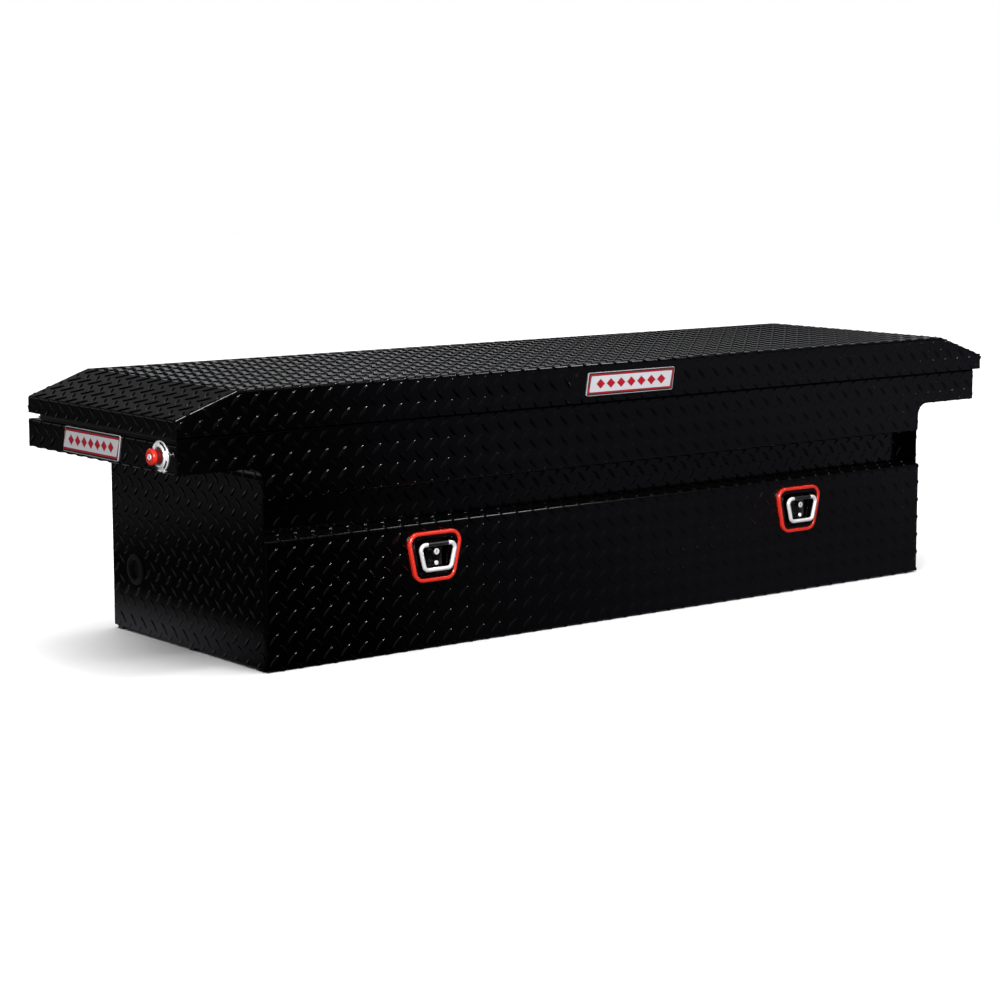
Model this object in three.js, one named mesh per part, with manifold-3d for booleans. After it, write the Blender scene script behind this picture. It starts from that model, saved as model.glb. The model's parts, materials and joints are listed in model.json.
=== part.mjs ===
// A crossbed truck tool box: a wide tub that hangs between the bed rails by two side wings, a lid hinged
// along its back edge with sloping ends, and one full-width drawer under the tub's upper compartment.
// Millimetres. X runs along the box (left is -X), Y from the front (-Y) to the hinge side, Z up.
// The origin is on the floor plane, under the middle of the lid.
import * as THREE from 'three';
import { mergeVertices } from 'three/addons/utils/BufferGeometryUtils.js';
import Module from 'manifold-3d';

const wasm = await Module();
wasm.setup();

// Driving dimensions
const SHEET = 2.5; // thickness of the tread plate
const THIN = 1.5; // thickness of the smooth inner sheet
const GAP = 0.3; // air between two pieces that touch
const LID_LENGTH = 1816;
const LID_TOP_LENGTH = 1592; // flat part of the lid, between its sloping ends
const LID_DEPTH = 470;
const LID_TOP = 451;
const SLOPE_START = 412; // height where the lid's end skirt turns into the slope
const LID_BOTTOM = 385;
const WING_SPAN = 1796;
const BODY_LENGTH = 1489;
const BODY_FRONT = -224;
const BODY_BACK = 251;
const DRAWER_FRONT = -229;
const DRAWER_TOP = 211;
const FOLD = 274; // underside of the upper front, where it folds back over the recess
const BAND_FRONT = -190; // front of the set-back band in the recess
const BAND_BOTTOM = 217;
const WING_BOTTOM = 326;
const WALL_TOP = 373; // of the ends and the back
const FRONT_TOP = 383.5; // the front panel reaches up close under the lid
const BASE = 6; // underside of the floor, standing on its runners
const WING_CORNER = 22; // radius of the bend between an end panel and its wing
const BEND = 4; // outer radius of the other sheet bends
const FLANGE = 18; // width of the flange round the tub's top

const HALF_BODY = BODY_LENGTH / 2;
const HALF_WING = WING_SPAN / 2;
const HALF_LID = LID_LENGTH / 2;
const INNER_BODY = HALF_BODY - SHEET;
const LID_FRONT = -LID_DEPTH / 2;
const LID_BACK = LID_DEPTH / 2;
const SIDES = [['left', -1], ['right', 1]];

// Lid hinge line, gas struts and lock line
const HINGE = { y: 240, z: WALL_TOP + GAP + 4.2, knuckle: 4.2, pin: 2 };
const HINGE_HALF = 880;
const STRUT = { x: 860, footY: 200, footZ: 345, headY: -60, headZ: 388 };
const LOCK = { y: -176, z: 352 };
const ROD = { y: -195, z: 352, radius: 4 };
const HANDLE_X = 418;
const HANDLE = { bottom: 112, height: 84, top: 117, foot: 80, corner: 20, rim: 6.5 };
const BAIL = { y: -241, z: 175.5, foot: 133.5, bar: 3.5, swing: 37, narrow: 26.5, end: 21.5, corner: 9 };
const PIN = { half: 27.5, radius: 2.2 }; // the pin that the bail turns on
const HANDLE_BOSS = { half: 17, low: 134, front: -229 }; // carries the key, the stud and the bail's barrel
const HANDLE_KEY = { z: 162.5, radius: 5.25, front: -238 };
const HANDLE_STUD = { z: 143.5, radius: 3.8, front: -238, back: -222 };

// Materials
const finish = (color, roughness, metalness) => new THREE.MeshStandardMaterial({ color, roughness, metalness });
const blackCoat = finish(0x101012, 0.25, 0.4);
const smoothBlack = finish(0x161618, 0.4, 0.3);
const redEnamel = finish(0xc4161c, 0.3, 0.2);
const blackPlastic = finish(0x0c0c0d, 0.45, 0);
const rubber = finish(0x151515, 0.8, 0);
const stainless = finish(0xc8c9cb, 0.25, 1);
const zinc = finish(0xa8a9a6, 0.4, 1);
const silverPlate = finish(0xd4d4d4, 0.3, 0.6);

const group = new THREE.Group();

// --- Solids ---------------------------------------------------------------------------------------
// A closed geometry as a solid, without the flat triangles that a turned shape has on its axis.
function solid(geometry) {
  const bare = geometry.clone();
  bare.deleteAttribute('normal');
  bare.deleteAttribute('uv');
  const merged = mergeVertices(bare, 1e-4);
  const vertProperties = new Float32Array(merged.attributes.position.array);
  const index = merged.index.array;
  const corners = [];
  for (let i = 0; i < index.length; i += 3) {
    const triangle = [index[i], index[i + 1], index[i + 2]];
    if (new Set(triangle).size === 3) corners.push(...triangle);
  }
  return new wasm.Manifold(new wasm.Mesh({ numProp: 3, vertProperties, triVerts: new Uint32Array(corners) }));
}

function join(...solids) {
  return solids.reduce((whole, next) => whole.add(next));
}

function cut(whole, ...solids) {
  return solids.reduce((left, next) => left.subtract(next), whole);
}

// A box from two opposite corners, whose ends may be given in either order.
function block([xa, xb], [ya, yb], [za, zb]) {
  const geometry = new THREE.BoxGeometry(Math.abs(xb - xa), Math.abs(yb - ya), Math.abs(zb - za));
  geometry.translate((xa + xb) / 2, (ya + yb) / 2, (za + zb) / 2);
  return solid(geometry);
}

// Turns of the drawing plane: an outline's first and second coordinates become these row axes.
const X = new THREE.Vector3(1, 0, 0);
const Y = new THREE.Vector3(0, 1, 0);
const Z = new THREE.Vector3(0, 0, 1);
const PLANES = {
  x: new THREE.Matrix4().makeBasis(Y, Z, X), // outline in (y, z), pushed along X
  y: new THREE.Matrix4().makeBasis(X, Z, Y.clone().negate()), // outline in (x, z), pushed along Y
  z: new THREE.Matrix4(), // outline in (x, y), pushed along Z
};

// Pushes an outline from one coordinate to another along an axis. A bevel rounds both of its ends.
function push(outline, axis, [from, to], { bevel = 0, holes = [] } = {}) {
  const shape = outline.isShape ? outline : new THREE.Shape(outline);
  shape.holes = holes.map((hole) => new THREE.Path(hole));
  const low = Math.min(from, to);
  const high = Math.max(from, to);
  const geometry = new THREE.ExtrudeGeometry(shape, {
    depth: high - low - 2 * bevel,
    bevelEnabled: bevel > 0,
    bevelThickness: bevel,
    bevelSize: bevel,
    bevelOffset: -bevel,
    bevelSegments: 2,
    curveSegments: 6,
  });
  geometry.translate(0, 0, (axis === 'y' ? -high : low) + bevel);
  geometry.applyMatrix4(PLANES[axis]);
  return solid(geometry);
}

// A turned piece on an axis: the profile lists [radius, distance along the axis].
function turned(profile, axis, centre, segments = 24) {
  const geometry = new THREE.LatheGeometry(profile.map(([r, h]) => new THREE.Vector2(r, h)), segments);
  if (axis === 'x') geometry.rotateZ(-Math.PI / 2);
  if (axis === 'z') geometry.rotateX(Math.PI / 2);
  geometry.translate(...centre);
  const made = solid(geometry);
  return made.volume() < 0 ? solid(flipped(geometry)) : made;
}

function flipped(geometry) {
  const turnedOver = geometry.clone();
  const index = turnedOver.index.array;
  for (let i = 0; i < index.length; i += 3) {
    const first = index[i];
    index[i] = index[i + 1];
    index[i + 1] = first;
  }
  return turnedOver;
}

function rod(axis, [from, to], centre, radius, segments = 16) {
  const profile = [[0, from], [radius, from], [radius, to], [0, to]];
  return turned(profile, axis, centre, segments);
}

const v = (a, b) => new THREE.Vector2(a, b);

// Rounds the inner corners of an open path, one radius for each corner.
function rounded(points, radii, steps = 4) {
  const path = [points[0]];
  for (let i = 1; i < points.length - 1; i += 1) {
    const corner = points[i];
    const back = points[i - 1].clone().sub(corner).normalize();
    const on = points[i + 1].clone().sub(corner).normalize();
    const radius = radii[i - 1];
    const half = Math.acos(THREE.MathUtils.clamp(back.dot(on), -1, 1)) / 2;
    const centre = back.clone().add(on).normalize().multiplyScalar(radius / Math.sin(half)).add(corner);
    const start = back.clone().multiplyScalar(radius / Math.tan(half)).add(corner).sub(centre);
    const turn = -Math.sign(start.cross(back)) * (Math.PI - 2 * half);
    for (let k = 0; k <= steps; k += 1) {
      path.push(start.clone().rotateAround(v(0, 0), (turn * k) / steps).add(centre));
    }
  }
  path.push(points[points.length - 1]);
  return path;
}

// Rounds every corner of a closed outline by the same radius.
function roundedLoop(points, radius, steps = 4) {
  const last = points[points.length - 1];
  const middle = last.clone().add(points[0]).multiplyScalar(0.5);
  const path = [middle, ...points, middle.clone()];
  return rounded(path, points.map(() => radius), steps).slice(0, -1);
}

// The closed section of a sheet folded along a centre path.
function folded(path, thickness) {
  const side = (offset) => path.map((point, i) => {
    const before = path[Math.max(i - 1, 0)];
    const after = path[Math.min(i + 1, path.length - 1)];
    const inward = point.clone().sub(before).normalize();
    const outward = after.clone().sub(point).normalize();
    const along = inward.clone().add(outward).normalize();
    const straight = inward.length() > 0 && outward.length() > 0 ? inward.dot(outward) : 1;
    const mitre = 1 / Math.sqrt((1 + straight) / 2);
    return v(point.x - along.y * offset * mitre, point.y + along.x * offset * mitre);
  });
  return [...side(thickness / 2), ...side(-thickness / 2).reverse()];
}

function add(name, material, made) {
  const mesh = made.getMesh();
  const geometry = new THREE.BufferGeometry();
  geometry.setAttribute('position', new THREE.BufferAttribute(mesh.vertProperties, 3));
  geometry.setIndex(new THREE.BufferAttribute(mesh.triVerts, 1));
  geometry.computeVertexNormals();
  const piece = new THREE.Mesh(geometry, material);
  piece.name = name;
  group.add(piece);
}

// --- Tub ------------------------------------------------------------------------------------------
const PANEL_FRONT = BODY_FRONT + SHEET + GAP; // front edge of the end panels
const PANEL_BACK = BODY_BACK - SHEET - GAP;
const HOLE = { y: 175, z: 112, radius: 24 }; // service hole in the left end, closed by a plug
const LOCK_HOLE = 14;

// An end panel bends out into the wing's floor, up into its end wall and in again as the top flange.
function endPanel(name, side) {
  const half = SHEET / 2;
  const points = [
    v(side * (HALF_BODY - half), BASE),
    v(side * (HALF_BODY - half), WING_BOTTOM + half),
    v(side * (HALF_WING - half), WING_BOTTOM + half),
    v(side * (HALF_WING - half), WALL_TOP - half),
    v(side * (HALF_WING - FLANGE), WALL_TOP - half),
  ];
  const path = rounded(points, [WING_CORNER + half, BEND - half, BEND - half]);
  const panel = push(folded(path, SHEET), 'y', [PANEL_FRONT, PANEL_BACK]);
  if (side > 0) return add(name, blackCoat, panel);
  const hole = rod('x', [-HALF_BODY - 5, -HALF_BODY + 10], [0, HOLE.y, HOLE.z], HOLE.radius, 24);
  const lockHole = rod('x', [-HALF_WING - 5, -HALF_WING + 10], [0, LOCK.y, LOCK.z], LOCK_HOLE, 24);
  return add(name, blackCoat, cut(panel, hole, lockHole));
}

// The T-shaped face that the front and back share: narrow between the end panels, wide across the wings.
function faceOutline(bottom, top) {
  const corner = (side) => [
    v(side * HALF_BODY, bottom),
    v(side * HALF_BODY, WING_BOTTOM),
    v(side * HALF_WING, WING_BOTTOM),
    v(side * HALF_WING, top - BEND),
  ];
  const left = rounded(corner(-1), [WING_CORNER, 0.01]);
  const right = rounded(corner(1), [WING_CORNER, 0.01]);
  return [...left, ...right.reverse()];
}

// Cuts a long sheet back where an end panel or its flange passes behind the face.
function endClearance(from, to) {
  const bendStart = WING_BOTTOM - 2 * WING_CORNER;
  const flange = HALF_WING - FLANGE - GAP;
  return SIDES.flatMap(([, side]) => [
    block([side * (INNER_BODY - GAP), side * (HALF_BODY + 5)], [from, to], [BASE - 2, bendStart]),
    block([side * flange, side * (HALF_WING + 5)], [from, to], [WALL_TOP - 12, WALL_TOP + 3]),
  ]);
}

function frontPanel() {
  const half = SHEET / 2;
  const face = push(faceOutline(FOLD + 20, FRONT_TOP), 'y', [BODY_FRONT, BODY_FRONT + SHEET]);
  const recess = rounded([
    v(BODY_FRONT + half, FOLD + 21),
    v(BODY_FRONT + half, FOLD + half),
    v(BAND_FRONT + half, FOLD + half),
    v(BAND_FRONT + half, BAND_BOTTOM),
  ], [BEND, BEND - half]);
  const flange = rounded([
    v(BODY_FRONT + half, FRONT_TOP - BEND - 1),
    v(BODY_FRONT + half, FRONT_TOP - half),
    v(BODY_FRONT + FLANGE, FRONT_TOP - half),
  ], [BEND - half]);
  const fold = push(folded(recess, SHEET), 'x', [-HALF_BODY, HALF_BODY]);
  const top = push(folded(flange, SHEET), 'x', [-HALF_WING, HALF_WING]);
  add('front_panel', blackCoat, cut(join(face, fold, top), ...endClearance(PANEL_FRONT - 0.1, 0)));
}

function rearPanel() {
  const half = SHEET / 2;
  const face = push(faceOutline(BASE, WALL_TOP), 'y', [BODY_BACK - SHEET, BODY_BACK]);
  const flange = rounded([
    v(BODY_BACK - half, WALL_TOP - BEND - 1),
    v(BODY_BACK - half, WALL_TOP - half),
    v(RIM.back - SHEET - 1, WALL_TOP - half),
  ], [BEND - half]);
  const top = push(folded(flange, SHEET), 'x', [-HALF_WING, HALF_WING]);
  add('rear_panel', blackCoat, cut(join(face, top), ...endClearance(0, PANEL_BACK + 0.1)));
}

// Weather rim: an upright frame on the tub's top flange, which the lid seal sits on. Its front is lower,
// because the front panel's flange is higher.
const RIM = { half: HALF_WING - 14.5, front: BODY_FRONT + 14, back: 230, top: 389 };

function ring(halfLength, front, back, wall, [low, high]) {
  const outer = block([-halfLength, halfLength], [front, back], [low, high]);
  const inner = block([wall - halfLength, halfLength - wall], [front + wall, back - wall], [low - 1, high + 1]);
  return cut(outer, inner);
}

function weatherRim() {
  const frame = ring(RIM.half, RIM.front, RIM.back, SHEET, [WALL_TOP + GAP, RIM.top]);
  const step = block([-HALF_WING, HALF_WING], [BODY_FRONT, BODY_FRONT + FLANGE + GAP],
    [WALL_TOP, FRONT_TOP + GAP]);
  add('weather_rim', smoothBlack, cut(frame, step));
}

function floors() {
  const deck = block([GAP - INNER_BODY, INNER_BODY - GAP], [BAND_FRONT + SHEET + GAP, PANEL_BACK],
    [BAND_BOTTOM, BAND_BOTTOM + SHEET]);
  add('upper_floor', smoothBlack, deck);
  const half = THIN / 2;
  const reach = INNER_BODY - GAP - half;
  const pan = rounded([v(-reach, BASE + 14), v(-reach, BASE + half), v(reach, BASE + half),
    v(reach, BASE + 14)], [BEND, BEND]);
  add('floor_pan', smoothBlack, push(folded(pan, THIN), 'y', [-218, PANEL_BACK]));
}

// Runners under the floor, which show as small feet under the ends.
const RUNNER = { half: 9, length: 2 * HALF_BODY - 2, centres: { front: -210, middle: 0, rear: 233 } };

function runners() {
  for (const [place, y] of Object.entries(RUNNER.centres)) {
    const foot = RUNNER.half;
    const head = RUNNER.half - 2;
    const top = BASE - GAP;
    const outline = roundedLoop([v(y - foot, 0), v(y + foot, 0), v(y + head, top), v(y - head, top)], 1, 2);
    const bar = push(outline, 'x', [-RUNNER.length / 2, RUNNER.length / 2]);
    add(`${place}_runner`, smoothBlack, bar);
  }
}

// Plug of the service hole: a domed rim outside, a dished face and a sleeve through the sheet.
function sidePlug() {
  const sleeve = HOLE.radius - GAP;
  const profile = [[0, 4], [15, 4], [17, -2], [20, -3.4], [25, -3], [27, -0.6], [27, -GAP], [sleeve, -GAP],
    [sleeve, 8], [19, 8], [17.5, 6], [0, 6]];
  add('side_plug', rubber, turned(profile, 'x', [-HALF_BODY, HOLE.y, HOLE.z], 24));
}

// --- Lid ------------------------------------------------------------------------------------------
// The lid's front view, at a distance inside its outer face.
function lidOutline(inset, low) {
  const slope = Math.atan2(LID_TOP - SLOPE_START, (LID_LENGTH - LID_TOP_LENGTH) / 2);
  const wall = HALF_LID - inset;
  const start = SLOPE_START + inset * (Math.tan(slope) - 1 / Math.cos(slope));
  const top = LID_TOP - inset;
  const run = (top - start) / Math.tan(slope);
  const flat = wall - run;
  const corners = [v(-wall, low), v(-wall, start), v(-flat, top), v(flat, top), v(wall, start), v(wall, low)];
  const bend = Math.max(BEND - inset, 1);
  return rounded(corners, [bend, bend, bend, bend], 2);
}

const HEM = 10; // width of the flange turned in along the lid's lower edge

function lidShell() {
  const below = LID_BOTTOM - 20;
  const outer = push(lidOutline(0, below), 'y', [LID_FRONT, LID_BACK], { bevel: BEND });
  const inner = push(lidOutline(SHEET, below - 10), 'y', [LID_FRONT + SHEET, LID_BACK - SHEET],
    { bevel: BEND - SHEET });
  const reach = HALF_LID - 1;
  const mouth = HALF_LID - SHEET - HEM;
  const hem = cut(
    block([-reach, reach], [LID_FRONT + 1, LID_BACK - 1], [LID_BOTTOM, LID_BOTTOM + SHEET]),
    block([-mouth, mouth], [LID_FRONT + SHEET + HEM, LID_BACK - 2], [0, LID_TOP]),
    block([2 - HALF_LID, HALF_LID - 2], [LID_BACK - SHEET - HEM - 4, LID_BACK - 2], [0, LID_TOP]),
  );
  const trim = block([-HALF_LID - 5, HALF_LID + 5], [LID_FRONT - 5, LID_BACK + 5], [0, LID_BOTTOM]);
  add('lid_shell', blackCoat, join(cut(outer, inner, trim), hem));
}

const PAN = 400; // underside of the lid's inner panel

function lidInside() {
  const reach = HALF_LID - SHEET - GAP;
  const front = LID_FRONT + SHEET + GAP;
  const back = LID_BACK - SHEET - GAP;
  const outline = roundedLoop([v(-reach, front), v(reach, front), v(reach, back), v(-reach, back)], BEND);
  add('lid_inner_panel', smoothBlack, push(outline, 'z', [PAN, PAN + THIN]));
  const edge = 4.5; // how far the seal overhangs each face of the rim
  const seal = ring(RIM.half + edge, RIM.front - edge, LID_BACK - SHEET - 2 * GAP, SHEET + 2 * edge,
    [RIM.top + GAP, PAN - GAP]);
  add('lid_seal', rubber, seal);
}

// --- Piano hinge ----------------------------------------------------------------------------------
const KNUCKLES = 14;

function hingeLeaf(odd, plate, tab) {
  const pitch = (2 * HINGE_HALF) / KNUCKLES;
  let leaf = plate;
  for (let i = odd; i < KNUCKLES; i += 2) {
    const from = -HINGE_HALF + i * pitch + 0.4;
    const to = from + pitch - 0.8;
    leaf = leaf.add(tab(from, to)).add(rod('x', [from, to], [0, HINGE.y, HINGE.z], HINGE.knuckle, 10));
  }
  const bore = rod('x', [-HINGE_HALF - 5, HINGE_HALF + 5], [0, HINGE.y, HINGE.z], HINGE.pin + 0.2, 10);
  return leaf.subtract(bore);
}

function hinge() {
  const thick = 2;
  const clear = HINGE.knuckle + 0.6;
  const floor = HINGE.z - HINGE.knuckle;
  const wall = HINGE.y - HINGE.knuckle - 0.1;
  const tubPlate = block([-HINGE_HALF, HINGE_HALF], [HINGE.y + clear, BODY_BACK - 0.5], [floor, floor + thick]);
  const tubTab = (from, to) => block([from, to], [HINGE.y, HINGE.y + clear + 1], [floor, floor + thick]);
  add('tub_hinge_leaf', smoothBlack, hingeLeaf(0, tubPlate, tubTab));
  const lidPlate = block([-HINGE_HALF, HINGE_HALF], [wall, wall + thick], [HINGE.z + clear, HINGE.z + 24]);
  const lidTab = (from, to) => block([from, to], [wall, wall + thick], [HINGE.z, HINGE.z + clear + 1]);
  add('lid_hinge_leaf', smoothBlack, hingeLeaf(1, lidPlate, lidTab));
  const pin = rod('x', [-HINGE_HALF - 2, HINGE_HALF + 2], [0, HINGE.y, HINGE.z], HINGE.pin, 10);
  add('hinge_pin', stainless, pin);
}

// --- Gas struts -----------------------------------------------------------------------------------
// Each strut stands rod down: the rod turns on a stud inside the wing and the tube carries the lid. At the
// lid the stud ends just short of the tube's eye, because that pivot is left open in the joint tree.
const STRUT_EYE = { radius: 8, half: 5, stud: 4 };

function strut(name, side) {
  const foot = new THREE.Vector2(STRUT.footY, STRUT.footZ);
  const head = new THREE.Vector2(STRUT.headY, STRUT.headZ);
  const length = foot.distanceTo(head);
  const angle = head.clone().sub(foot).angle();
  const x = side * STRUT.x;
  const eye = (bore) => {
    const disc = rod('x', [-STRUT_EYE.half, STRUT_EYE.half], [0, 0, 0], STRUT_EYE.radius, 20);
    if (!bore) return disc;
    return disc.subtract(rod('x', [-10, 10], [0, 0, 0], STRUT_EYE.stud + 0.2, 20));
  };
  const lean = THREE.MathUtils.radToDeg(angle) - 90;
  const place = (made) => made.rotate([lean, 0, 0]).translate([x, foot.x, foot.y]);
  const rodLength = length - 32;
  const stem = rod('z', [STRUT_EYE.radius - 1, rodLength], [0, 0, 0], 4, 14);
  add(`${name}_strut_rod`, stainless, place(join(eye(true), stem)));
  const tubeStart = 92;
  const tube = turned([[4.3, tubeStart], [9, tubeStart], [9, length - 14], [5, length - 11], [5, length - 4],
    [0, length - 4], [0, rodLength + 3], [7, rodLength + 3], [7, tubeStart + 6], [4.3, tubeStart + 6],
    [4.3, tubeStart]], 'z', [0, 0, 0], 20);
  add(`${name}_strut_tube`, smoothBlack, place(join(tube, eye(false).translate([0, 0, length]))));

  const wall = side * (HALF_WING - SHEET - GAP);
  const peg = (y, z, radius, ...ends) => rod('x', ends.sort((a, b) => a - b), [0, y, z], radius, 20);
  const plate = block([wall, wall - side * 3], [foot.x - 16, foot.x + 16], [WING_BOTTOM + 6, WALL_TOP - 6]);
  const inner = x - side * (STRUT_EYE.half + 3);
  const shoulder = peg(foot.x, foot.y, 6.5, x + side * (STRUT_EYE.half + 0.5), wall);
  const cap = peg(foot.x, foot.y, 6, inner - 1, inner + 1);
  const bracket = join(plate, shoulder, peg(foot.x, foot.y, STRUT_EYE.stud, inner, wall), cap);
  add(`${name}_strut_bracket`, zinc, bracket);

  const plateX = x + side * (STRUT_EYE.half + 5);
  const earOutline = roundedLoop([v(head.x - 10, head.y - 10), v(head.x + 10, head.y - 10),
    v(head.x + 18, PAN - GAP), v(head.x - 18, PAN - GAP)], 3);
  const ear = push(earOutline, 'x', [plateX, plateX + side * 3]);
  const tread = block([plateX, plateX - side * 26], [head.x - 18, head.x + 18], [PAN - GAP - 2, PAN - GAP]);
  const lidStud = peg(head.x, head.y, STRUT_EYE.stud, x + side * (STRUT_EYE.half + 0.4), plateX + side);
  add(`${name}_lid_bracket`, zinc, join(ear, tread, lidStud));
}

// --- Lid lock -------------------------------------------------------------------------------------
const BUTTON = { neck: 11.5, head: 13, reach: 20, thick: 6, bore: 5, stem: 35.4 };

function lidLock() {
  const face = -HALF_WING;
  const at = [face, LOCK.y, LOCK.z];
  const plate = [[LOCK_HOLE + GAP, -GAP], [24.5, -GAP], [24.5, -1.6], [23, -2.8], [LOCK_HOLE + 3, -3.4],
    [LOCK_HOLE + 1.5, -4.6], [LOCK_HOLE + GAP, -4.6], [LOCK_HOLE + GAP, -GAP]];
  add('lock_escutcheon', stainless, turned(plate, 'x', at, 28));
  const wall = SHEET + GAP;
  const sleeve = [[12, -4], [LOCK_HOLE - GAP, -4], [LOCK_HOLE - GAP, wall], [16.5, wall], [16.5, wall + 6],
    [LOCK_HOLE - GAP, wall + 6], [LOCK_HOLE - GAP, 26], [12, 26], [12, -4]];
  add('lock_housing', zinc, turned(sleeve, 'x', at, 24));
  const { neck, head, reach, thick, bore, stem } = BUTTON;
  const button = [[0, stem], [neck, stem], [neck, thick - reach + 1.5], [head, thick - reach],
    [head, 2 - reach], [head - 2, -reach], [bore + 0.2, -reach], [bore + 0.2, -6], [0, -6]];
  add('lock_button', redEnamel, turned(button, 'x', at, 24));
  const cylinder = rod('x', [-reach - 1, -6 - GAP], at, bore, 24);
  const keyway = block([face - reach - 2, face - reach + 4], [LOCK.y - 0.6, LOCK.y + 0.6],
    [LOCK.z - 3, LOCK.z + 3]);
  add('key_cylinder', stainless, cut(cylinder, keyway));
}

// A rod along the front carries a hook at each end; the button pushes all three. Each nose stops just
// short of the lid's striker, so that the lid and the rod can each be moved alone.
const HOOK = { x: 856, half: 6, thick: 5, rise: 22, nose: 6 };

function latchRod() {
  const hook = (name, side) => {
    const x = side * HOOK.x;
    const front = side < 0 ? LOCK.y + 8 : ROD.y + HOOK.half;
    const top = ROD.z + HOOK.rise;
    const width = [ROD.y - HOOK.half, ROD.y + HOOK.half];
    const base = block([x - HOOK.half, x + HOOK.half], [ROD.y - HOOK.half, front], [ROD.z - 6, ROD.z + 6]);
    const arm = block([x, x + HOOK.thick], width, [ROD.z, top]);
    const nose = block([x - HOOK.nose, x + 1], width, [top - 5, top]);
    const socket = rod('x', [x - 20, x + 20], [0, ROD.y, ROD.z], ROD.radius + GAP, 12);
    add(`${name}_latch_hook`, zinc, cut(join(base, arm, nose), socket));
    const striker = x - HOOK.nose - 0.6;
    const depth = [ROD.y - HOOK.half, ROD.y + 9];
    const plate = block([striker - 8, striker - 5], depth, [ROD.z + 8, PAN - GAP]);
    const ledge = block([striker - 6, striker], depth, [ROD.z + 8, ROD.z + 12]);
    const foot = block([striker - 8, striker + 8], depth, [PAN - GAP - 2.5, PAN - GAP]);
    add(`${name}_striker`, zinc, join(plate, ledge, foot));
    const near = side * (HOOK.x - 34);
    const tray = WING_BOTTOM + SHEET + GAP;
    const stand = block([near - 1.5, near + 1.5], [ROD.y - 11, ROD.y + 11], [tray, ROD.z + 10]);
    const sole = block([near - 12, near + 12], [ROD.y - 11, ROD.y + 11], [tray, tray + 2.5]);
    const eye = rod('x', [near - 20, near + 20], [0, ROD.y, ROD.z], ROD.radius + 0.4, 16);
    add(`${name}_rod_guide`, zinc, cut(join(stand, sole), eye));
  };
  for (const [name, side] of SIDES) hook(name, side);
  const end = HOOK.x + 2;
  add('latch_rod', zinc, rod('x', [-end, end], [0, ROD.y, ROD.z], ROD.radius, 12));
}

// --- Drawer ---------------------------------------------------------------------------------------
const SLIDE = { thick: 2, width: 19, half: 30, z: 52, from: -212, length: 440 };
const TRAY = { half: INNER_BODY - SLIDE.width - GAP, front: -165, back: 235, low: 14, high: 205 };
const BOLT = { y: -190, z: 150, radius: 5, guide: 700, plate: 12 }; // side bolts, behind the drawer front
const FRONT_RETURN = 7; // depth of the flange round the drawer front
const DRAWER_LOW = 2;
const SHELF = 38; // depth of the flange along the drawer's top

function drawerFront() {
  const half = SHEET / 2;
  const back = DRAWER_FRONT + FRONT_RETURN;
  const size = (inset) => [v(inset - HALF_BODY, DRAWER_LOW + inset), v(HALF_BODY - inset, DRAWER_LOW + inset),
    v(HALF_BODY - inset, DRAWER_TOP + 20), v(inset - HALF_BODY, DRAWER_TOP + 20)];
  const outer = push(size(0), 'y', [DRAWER_FRONT, back + 20], { bevel: 3 });
  const inner = push(size(SHEET), 'y', [DRAWER_FRONT + SHEET, back + 30], { bevel: 0.6 });
  const trims = [
    block([-HALF_BODY - 5, HALF_BODY + 5], [back, back + 50], [0, DRAWER_TOP + 40]),
    block([-HALF_BODY - 5, HALF_BODY + 5], [DRAWER_FRONT - 5, back + 50],
      [DRAWER_TOP - BEND - 2, DRAWER_TOP + 40]),
  ];
  const lip = rounded([
    v(DRAWER_FRONT + half, DRAWER_TOP - BEND - 3),
    v(DRAWER_FRONT + half, DRAWER_TOP - half - 0.4),
    v(DRAWER_FRONT + SHELF - 0.4, BAND_BOTTOM - half - 0.4),
  ], [BEND]);
  const shelf = cut(push(folded(lip, SHEET), 'x', [-HALF_BODY, HALF_BODY]),
    ...SIDES.map(([, side]) => block([side * (INNER_BODY - 1), side * (HALF_BODY + 5)], [back, 0], [0, 300])));
  const openings = SIDES.map(([, side]) => push(handleOutline(side, 10.5), 'y', [DRAWER_FRONT - 5, back + 20]));
  add('drawer_front', blackCoat, cut(join(cut(outer, inner, ...trims), shelf), ...openings));
}

function drawerTray() {
  const floor = block([-TRAY.half, TRAY.half], [DRAWER_FRONT + SHEET + GAP, TRAY.back],
    [TRAY.low, TRAY.low + THIN]);
  const middle = (TRAY.front + TRAY.back) / 2;
  const outer = block([-TRAY.half, TRAY.half], [TRAY.front, TRAY.back], [TRAY.low, TRAY.high]);
  const inner = block([THIN - TRAY.half, TRAY.half - THIN], [TRAY.front + THIN, TRAY.back - THIN],
    [TRAY.low + THIN, TRAY.high + 5]);
  const finger = push(roundedLoop([v(-60, TRAY.high - 18), v(60, TRAY.high - 18), v(72, TRAY.high + 20),
    v(-72, TRAY.high + 20)], 8), 'y', [TRAY.front - 5, middle - 100]);
  // Guides folded up in front of the tray hold the outer ends of the side bolts.
  const guides = SIDES.map(([, side]) => block([side * BOLT.guide, side * (BOLT.guide + THIN)],
    [BOLT.y - BOLT.plate, BOLT.y + BOLT.plate], [TRAY.low, BOLT.z + BOLT.plate]));
  const eyes = rod('x', [-TRAY.half, TRAY.half], [0, BOLT.y, BOLT.z], BOLT.radius + 0.4, 16);
  add('drawer_tray', smoothBlack, cut(join(floor, cut(outer, inner), ...guides), finger, eyes));
}

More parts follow.
